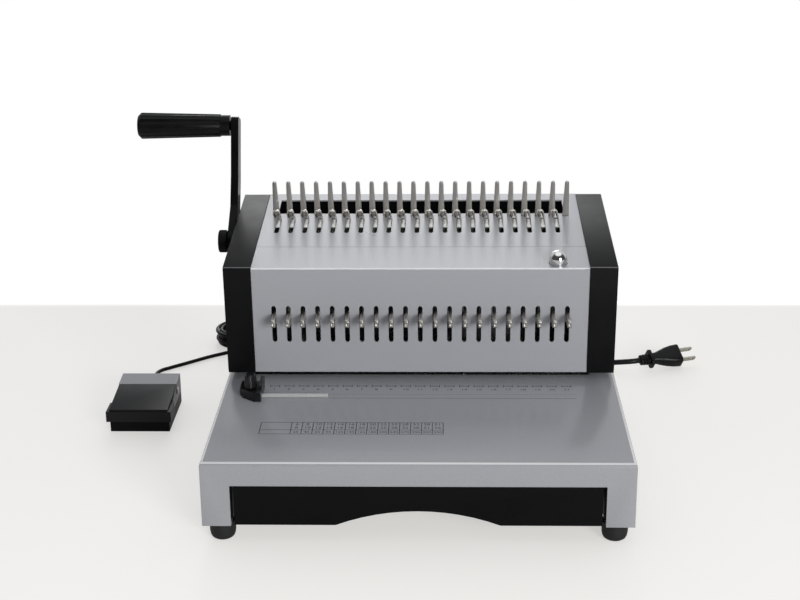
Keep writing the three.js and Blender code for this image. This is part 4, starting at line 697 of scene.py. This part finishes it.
# Each station: way from the nose, half the width, then how far the section is drawn in below and above.
tab_stations = np.array([
    (0.0009, 0.0003, 0.0040, 0.0040), (0.00035, 0.0008, 0.0031, 0.0031), (0.0, 0.0011, 0.0024, 0.0024),
    (0.0002, 0.0016, 0.0015, 0.0015), (0.0009, 0.00195, 0.00075, 0.00075), (0.0020, 0.00215, 0.00025, 0.00025),
    (0.0034, 0.00215, 0.0, 0.0), (0.0100, 0.0021, 0.0, 0.0), (0.0182, 0.00205, 0.0, 0.0),
    (0.0196, 0.00125, 0.0, 0.0), (0.0260, 0.0009, 0.0, 0.0), (tab_tail - tab_nose, 0.0009, 0.0, 0.0),
])


def tab_rings(x):
    """Rings along one tab: rounded upright rectangles whose width and height follow the stations, drawn in at
    the nose round a dimple, full at the head and narrow where the tab passes its slot."""
    way, half, below, over = tab_stations.T
    low, high = tab_foot + below, tab_foot + tab_tall - over
    bend = np.minimum(tab_corner, half * 0.7)[:, None]
    turn, side, rise = round_corners(3)
    middle, tall = ((low + high) / 2)[:, None], ((high - low) / 2)[:, None]
    across = x + side * (half[:, None] - bend) + bend * np.cos(turn)
    height = middle + rise * (tall - bend) + bend * np.sin(turn)
    return np.stack([across, np.broadcast_to((tab_nose + way)[:, None], across.shape), height], axis=-1) + origin


for tab, x in enumerate(hole_x + tab_shift, start=1):
    bar = lofted(f"pull_tab_{tab:02d}_bar", [tab_rings(x)], nickel, f"pull_{tab:02d}", crisp=40)
    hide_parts(f"pull_tab_{tab:02d}")

# Comb fingers: 22 tapered blades of satin steel with round tips on one strip under the deck, leaning
# a little forward. The deck's line runs from the covers' fold to their rear edge.
fold = np.array([fold_y, fold_z])
rear_edge = np.array([0.3815, 0.2171])
deck_run = (rear_edge - fold) / np.linalg.norm(rear_edge - fold)
deck_rise = np.array([-deck_run[1], deck_run[0]])


def on_deck(points):
    """Points given as x from the middle, way along the deck from its fold, and height above the deck."""
    points = np.asarray(points, dtype=float)
    slanted = fold + points[..., 1:2] * deck_run + points[..., 2:3] * deck_rise
    return np.concatenate([points[..., :1], slanted], axis=-1) + origin


satin_steel = finish("satin steel", (0.58, 0.56, 0.53), (0.47, 0.45, 0.43), edge=0.15, patch_scale=140,
                     grain_scale=2600, smooth=0.30, rough=0.42, bump=0.08, metallic=0.85)
finger_row_middle = -0.0011
finger_count = hole_count + 1
finger_x = finger_row_middle + (np.arange(finger_count) - hole_count / 2) * hole_pitch
finger_foot = 0.0068
finger_tip = 0.0043
finger_thick = 0.0020
finger_ease = 0.00045
finger_root = 0.0025
finger_length = 0.0410
finger_along = 0.1355
finger_lean = math.radians(9.6)
strip_width = 0.0090
strip_sheet = 0.0015
strip_side = 0.0100
strip_rear = 0.1406
strip_top = -0.0018


def finger_blade(x):
    """Rings up one finger: rounded rectangles whose width tapers to the tip and then closes in a half circle, set
    on a line that leans forward of the deck's normal."""
    tip_round = finger_tip / 2
    rise = np.concatenate([[-finger_root], np.linspace(0, finger_length - tip_round, 6),
                           finger_length - tip_round + tip_round * np.sin(np.linspace(0.25, 1.5, 7))])
    share = np.clip((rise + finger_root) / (finger_length + finger_root), 0, 1)
    taper = finger_foot + (finger_tip - finger_foot) * share
    closing = np.clip((rise - finger_length + tip_round) / tip_round, 0, 1)
    half = taper / 2 * np.sqrt(1 - np.minimum(closing, 0.995) ** 2)
    turn, side, face = round_corners(4)
    ease = np.minimum(finger_ease, half * 0.6)[:, None]
    across = side * (half[:, None] - ease) + ease * np.cos(turn)
    depth = face * (finger_thick / 2 - ease) + ease * np.sin(turn)
    along = finger_along - rise[:, None] * math.sin(finger_lean) + depth * math.cos(finger_lean)
    height = rise[:, None] * math.cos(finger_lean) + depth * math.sin(finger_lean)
    return on_deck(np.stack([x + across, along, height], axis=-1))


strip_ends = (finger_x[0] - strip_side, finger_x[-1] + strip_side)
strip_ring = [(strip_rear - strip_width, strip_top - strip_sheet), (strip_rear, strip_top - strip_sheet),
              (strip_rear, strip_top), (strip_rear - strip_width, strip_top)]
finger_strip = on_deck([[(x, *corner) for corner in strip_ring] for x in strip_ends])
fingers = lofted("comb_fingers", [finger_blade(x) for x in finger_x] + [finger_strip], satin_steel, "machine",
                 crisp=40)
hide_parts("finger_plate")

# Comb hooks: 21 plated hooks on one sliding plate. Each has an open wire loop that takes a comb's ring and a
# flat that fills its slot; two racks under the plate mesh with the lever's pinions.
hook_plating = finish("bright plating", (0.88, 0.85, 0.78), (0.66, 0.64, 0.60), edge=0.2, patch_scale=160,
                      smooth=0.19, rough=0.29, bump=0.005, metallic=1.0)
# Painted shade: a dark brown plating on the loop faces that turn inward stands for the shade inside each loop.
loop_painted_shade = finish("painted shade inside a loop", (0.16, 0.145, 0.11), (0.10, 0.09, 0.07), patch_scale=160,
                     smooth=0.4, bump=0.01, metallic=1.0)
# Painted reflection: the flats' tops get a whiter, duller plating that stands for the white they reflect.
flat_painted_reflection = finish("plating painted white as a reflection", (0.90, 0.89, 0.86), (0.78, 0.77, 0.74), patches=0.3, edge=0.1,
                      patch_scale=160, smooth=0.4, bump=0.01, metallic=0.25)
hook_shift = -0.0044
hook_top = -0.0006
head_side = 0.0023
head_middle = 0.0071
head_half_wide = 0.0029
head_half_tall = 0.0038
head_along = 0.1197
head_depth = 0.0056
head_wire = 0.0023
head_foot = -0.0046
flat_clear = 0.00002
flat_skin = 0.0002
# Each station of the wire's rise: way beside the head's middle, height above the deck, half the wire's width.
rise_stations = np.array([(0.0044, hook_top - 0.0006, 0.0011), (0.0042, 0.0012, 0.0010), (0.0036, 0.0040, 0.0009)])
deck_up = Vector((0.0, *deck_rise))


def hook_head(x):
    """Rings along one hook's head: a flat wire that rises from the plate beside the head's middle, then runs round
    an ellipse from its right side over the top to the lower left. The section is an ellipse."""
    turn = np.radians(np.linspace(-8, 250, 27))
    across = np.concatenate([rise_stations[:, 0], head_half_wide * np.cos(turn)])
    height = np.concatenate([rise_stations[:, 1], head_middle + head_half_tall * np.sin(turn)])
    way = np.stack([np.gradient(across), np.gradient(height)], axis=1)
    way /= np.linalg.norm(way, axis=1)[:, None]
    outward = np.stack([way[:, 1], -way[:, 0]], axis=1)
    half = np.concatenate([rise_stations[:, 2], np.full(len(turn), head_wire / 2)])
    spin = np.linspace(0, 2 * np.pi, 14, endpoint=False)
    side, deep = np.cos(spin), np.sin(spin)
    out = side[None, :] * half[:, None]
    points = np.stack([x - head_side + across[:, None] + out * outward[:, :1],
                       head_along + head_depth / 2 * (1 + np.broadcast_to(deep, out.shape)),
                       height[:, None] + out * outward[:, 1:]], axis=-1)
    return on_deck(points)


def plate_without_heads():
    """Copy of the hook plate's mesh cut off level just above its flats, with the cuts filled. The flats' tops
    have a duller, whiter plating, a painted reflection of the white above them."""
    source = frame["nodes"]["hook_plate"]
    form = bmesh.new()
    form.from_mesh(source.data)
    bmesh.ops.remove_doubles(form, verts=form.verts, dist=merge_reach)
    spot = Vector(on_deck([0.0, head_along, hook_top + flat_clear]))
    cut = bmesh.ops.bisect_plane(form, geom=form.verts[:] + form.edges[:] + form.faces[:], plane_co=spot,
                                 plane_no=deck_up, clear_outer=True)
    rims = [part for part in cut["geom_cut"] if isinstance(part, bmesh.types.BMEdge)]
    bmesh.ops.edgeloop_fill(form, edges=rims)
    for face in form.faces:
        face.material_index = 1 if (face.calc_center_median() - spot).dot(deck_up) > -flat_skin else 0
    piece = piece_of_form("hook_slide", form, 35, hook_plating, flat_painted_reflection)
    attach(piece, source["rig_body"])
    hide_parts("hook_plate")


plate_without_heads()
heads = lofted("comb_hooks", [hook_head(x) for x in hole_x + hook_shift], hook_plating, "hooks", crisp=40)
heads.data.materials.append(loop_painted_shade)
head_centre = Vector(on_deck([0.0, head_along, head_middle]))
loop_x = head_centre.x + hole_x + hook_shift - head_side
# Loop faces that turn inward get the painted shade.
for side in heads.data.polygons:
    over = (side.center - head_centre).dot(deck_up)
    beside = side.center.x - loop_x[np.abs(loop_x - side.center.x).argmin()]
    outward = side.normal.dot(deck_up) * over + side.normal.x * beside
    if over > head_foot and outward < -0.35 * math.hypot(over, beside):
        side.material_index = 1

# Comb trough: black enamelled tray under the long opening behind the fingers, where the comb lies while
# the sheets are hung on it.
eased("comb_trough", black_enamel, width=0.0003)

# Lever: cranked flat arm in black enamel on a steel shaft with two pinions, held by a knurled cap nut,
# with a fluted grip that turns on its spindle.
grip_plastic = finish("black grip", (0.0035, 0.0035, 0.0035), (0.010, 0.010, 0.010), edge=0.3, grain_scale=2200,
                      smooth=0.28, rough=0.4, bump=0.12, depth=0.0002, specular=0.14)
eased("lever_shaft", ground_steel, width=0.0)
eased("lever_arm", black_enamel, width=0.0010, segments=3)
eased("lever_grip", grip_plastic, width=0.0003)
nut_axis = (0.3000, 0.189977)
nut_left, nut_right = -0.2096, -0.2006
nut_radius = 0.0117
nut_flutes = 44


def nut_rings():
    """Rings along the nut: circles with shallow flutes, four points to a flute, drawn in to a round rim at both
    ends."""
    turn = np.linspace(0, 2 * np.pi, 4 * nut_flutes, endpoint=False)
    inward = np.array([0.0018, 0.0005, 0.0, 0.0, 0.0005, 0.0018])
    flute = np.array([0.0, 0.0, 0.00022, 0.00022, 0.0, 0.0])
    way = np.array([nut_left, nut_left + 0.0005, nut_left + 0.0016,
                    nut_right - 0.0016, nut_right - 0.0005, nut_right])
    radius = nut_radius - inward[:, None] - flute[:, None] * (1 + np.cos(nut_flutes * turn))
    return np.stack([np.broadcast_to(way[:, None], radius.shape), nut_axis[0] + radius * np.cos(turn),
                     nut_axis[1] + radius * np.sin(turn)], axis=-1) + origin


nut = lofted("lever_nut", [nut_rings()], grip_plastic, "lever", crisp=30)
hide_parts("lever_knob")

# Punch button: polished metal dome on a straight skirt, turned in one piece and sprung in a hole of the
# deck's front strip.
button_x = 0.1335
button_along = 0.0130
button_radius = 0.0088
button_straight = 0.0040
button_skirt = 0.0070
button_rim = 0.0004
button_sides = 64
polish = finish("polished dome", (0.86, 0.86, 0.85), (0.75, 0.74, 0.72), patches=0.15, patch_scale=150,
                grain_scale=1500, smooth=0.04, rough=0.09, bump=0.01, metallic=1.0)
dome_turn = np.linspace(0, np.pi / 2 * 0.985, 16)
button_profile = [(button_radius - button_rim, -button_skirt), (button_radius, -button_skirt + button_rim)]
button_profile += [(button_radius * math.cos(t), button_straight + button_radius * math.sin(t)) for t in dome_turn]
button_rings = lathe_rings(button_profile, button_sides) + np.array([button_x, button_along, 0.0])
button = lofted("punch_button_dome", [on_deck(button_rings)], polish, "button", crisp=60)
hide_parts("punch_button")

# Edge guide: satin steel rail fixed along the table, a moulded block that slides on it and a ribbed
# clamp knob on the block.
guide_plastic = finish("black guide plastic", (0.004, 0.004, 0.0045), (0.016, 0.016, 0.017), patches=0.3,
                       edge=0.7, patch_scale=120, smooth=0.3, rough=0.42, bump=0.12, depth=0.0002, specular=0.3)
rail_steel = finish("bright rail", (0.80, 0.80, 0.79), (0.62, 0.61, 0.60), patches=0.3, edge=0.2,
                    patch_scale=90, grain_scale=2200, smooth=0.25, rough=0.38, bump=0.05, metallic=0.6)
eased("guide_rail", rail_steel, width=0.0005, segments=3)
eased("guide_block", guide_plastic, width=0.0007, segments=3)
eased("guide_knob", guide_plastic, width=0.0002)

# Rear panel: black moulded plate over the opening in the rear skirt, with a tapered strain relief for each
# cord and a rocker switch.
eased("rear_panel", cap_plastic, width=0.0005)
eased("mains_switch", grip_plastic, width=0.0006, segments=3)

# Foot pedal: black plastic base, grey painted steel cover behind, black treadle hinged on a steel pin
# with a bright head at each side.
pedal_paint = finish("grey pedal paint", (0.30, 0.30, 0.325), (0.38, 0.38, 0.40), edge=0.5, patch_scale=50,
                     grain_scale=1700, smooth=0.38, bump=0.12, depth=0.0002, metallic=0.2)
treadle_rubber = finish("black treadle", (0.004, 0.004, 0.0045), (0.012, 0.012, 0.013), edge=0.6,
                        grain_scale=1500, smooth=0.36, rough=0.46, bump=0.25, depth=0.0003, specular=0.3)
eased("pedal_base", cap_plastic, width=0.0012, segments=3)
eased("pedal_cover", pedal_paint, width=0.0006, segments=3)
eased("pedal_treadle", treadle_rubber, width=0.0005)
eased("pedal_pin", satin_steel, width=0.0004)

# Floor: a plain pale surface that ends behind the machine, with white beyond it, and soft light from
# the right front, from behind and from all round, as in a studio.
floor_near = -9.0
floor_rear = 0.645 + front_y
floor_far = 9.0
floor_half = 5.0
floor_fade = 0.022
floor_in_mirror = 0.3


def flat_plate(name, x0, x1, y0, y1, z, material):
    """One level rectangle, as a mesh of a single face."""
    mesh = bpy.data.meshes.new(name)
    mesh.from_pydata([(x0, y0, z), (x1, y0, z), (x1, y1, z), (x0, y1, z)], [], [(0, 1, 2, 3)])
    mesh.materials.append(material)
    in_scene(name, mesh)


floor_skin = bpy.data.materials.new("pale floor")
floor_skin.use_nodes = True
tree = floor_skin.node_tree
seen = added(tree, "LightPath").outputs
place = added(tree, "SeparateXYZ", {"Vector": added(tree, "TexCoord").outputs["Object"]}).outputs
slope = ramp(tree, place["Y"], front_y - 0.2, front_y + 0.6, low=0.56, high=0.49)
fade = ramp(tree, place["Y"], floor_rear - floor_fade, floor_rear, low=0.0, high=0.40, smooth=True)
mirrored = reckoned(tree, "MULTIPLY", seen["Is Glossy Ray"], floor_in_mirror)
watched = reckoned(tree, "MAXIMUM", seen["Is Camera Ray"], mirrored)
strength = reckoned(tree, "MULTIPLY", watched, reckoned(tree, "ADD", slope, fade))
glow = added(tree, "Emission", {"Color": (1.0, 0.985, 0.955, 1), "Strength": strength})
paint = feed(tree, tree.nodes["Principled BSDF"], {
    "Base Color": (0.50, 0.495, 0.485, 1), "Roughness": 0.5, "Specular IOR Level": 0.2,
})
both = added(tree, "AddShader", {0: paint.outputs["BSDF"], 1: glow.outputs["Emission"]})
feed(tree, tree.nodes["Material Output"], {"Surface": both.outputs["Shader"]})
flat_plate("floor", -floor_half, floor_half, floor_near, floor_rear, 0.0, floor_skin)

beyond = bpy.data.materials.new("white beyond the floor")
beyond.use_nodes = True
tree = beyond.node_tree
tree.nodes.remove(tree.nodes["Principled BSDF"])
seen = added(tree, "LightPath").outputs
watched = reckoned(tree, "MAXIMUM", seen["Is Camera Ray"], seen["Is Glossy Ray"])
paint = added(tree, "BsdfDiffuse", {"Color": (0.8, 0.8, 0.8, 1)})
white = added(tree, "Emission", {"Strength": 1.0})
both = added(tree, "MixShader", {"Fac": watched, 1: paint.outputs["BSDF"], 2: white.outputs["Emission"]})
feed(tree, tree.nodes["Material Output"], {"Surface": both.outputs["Shader"]})
flat_plate("beyond", -floor_half, floor_half, floor_rear, floor_far, -0.001, beyond)

world = bpy.data.worlds.new("studio")
bpy.context.scene.world = world
world.use_nodes = True
tree = world.node_tree
seen = added(tree, "LightPath").outputs
toward = added(tree, "SeparateXYZ", {"Vector": added(tree, "TexCoord").outputs["Generated"]}).outputs
lit_behind = ramp(tree, toward["Y"], 0.1, 0.6, low=0.40, high=0.56, smooth=True)
mirrored_behind = ramp(tree, toward["Y"], -0.05, 0.45, low=0.06, high=0.60, smooth=True)
mirrored_ceiling = ramp(tree, toward["Z"], 0.72, 0.92, low=0.0, high=0.95, smooth=True)
mirrored = reckoned(tree, "MAXIMUM", mirrored_behind, mirrored_ceiling)
strength = added(tree, "Mix", {"Factor": seen["Is Glossy Ray"], "A": lit_behind, "B": mirrored}).outputs["Result"]
around = feed(tree, tree.nodes["Background"], {"Color": (0.96, 0.98, 1.0, 1), "Strength": strength})
backdrop = added(tree, "Background", {"Color": (1, 1, 1, 1), "Strength": 1.0})
both = added(tree, "MixShader", {
    "Fac": seen["Is Camera Ray"], 1: around.outputs["Background"], 2: backdrop.outputs["Background"],
})
feed(tree, tree.nodes["World Output"], {"Surface": both.outputs["Shader"]})


def softbox(name, place, aim, width, height, power):
    """Rectangular lamp at a place, turned to face its aim."""
    lamp = bpy.data.lights.new(name, "AREA")
    lamp.shape = "RECTANGLE"
    lamp.size = width
    lamp.size_y = height
    lamp.energy = power
    box = in_scene(name, lamp)
    box.location = place
    box.rotation_mode = "QUATERNION"
    box.rotation_quaternion = (Vector(aim) - Vector(place)).to_track_quat("-Z", "Y")


aim = (middle_x, 0.0, 0.12)
softbox("key softbox", (2.10, -3.90, 1.30), aim, 1.6, 1.6, 126.0)
softbox("rear softbox", (-0.05, 2.10, 0.90), aim, 0.9, 1.5, 8.5)

bpy.context.scene.view_settings.view_transform = "Standard"
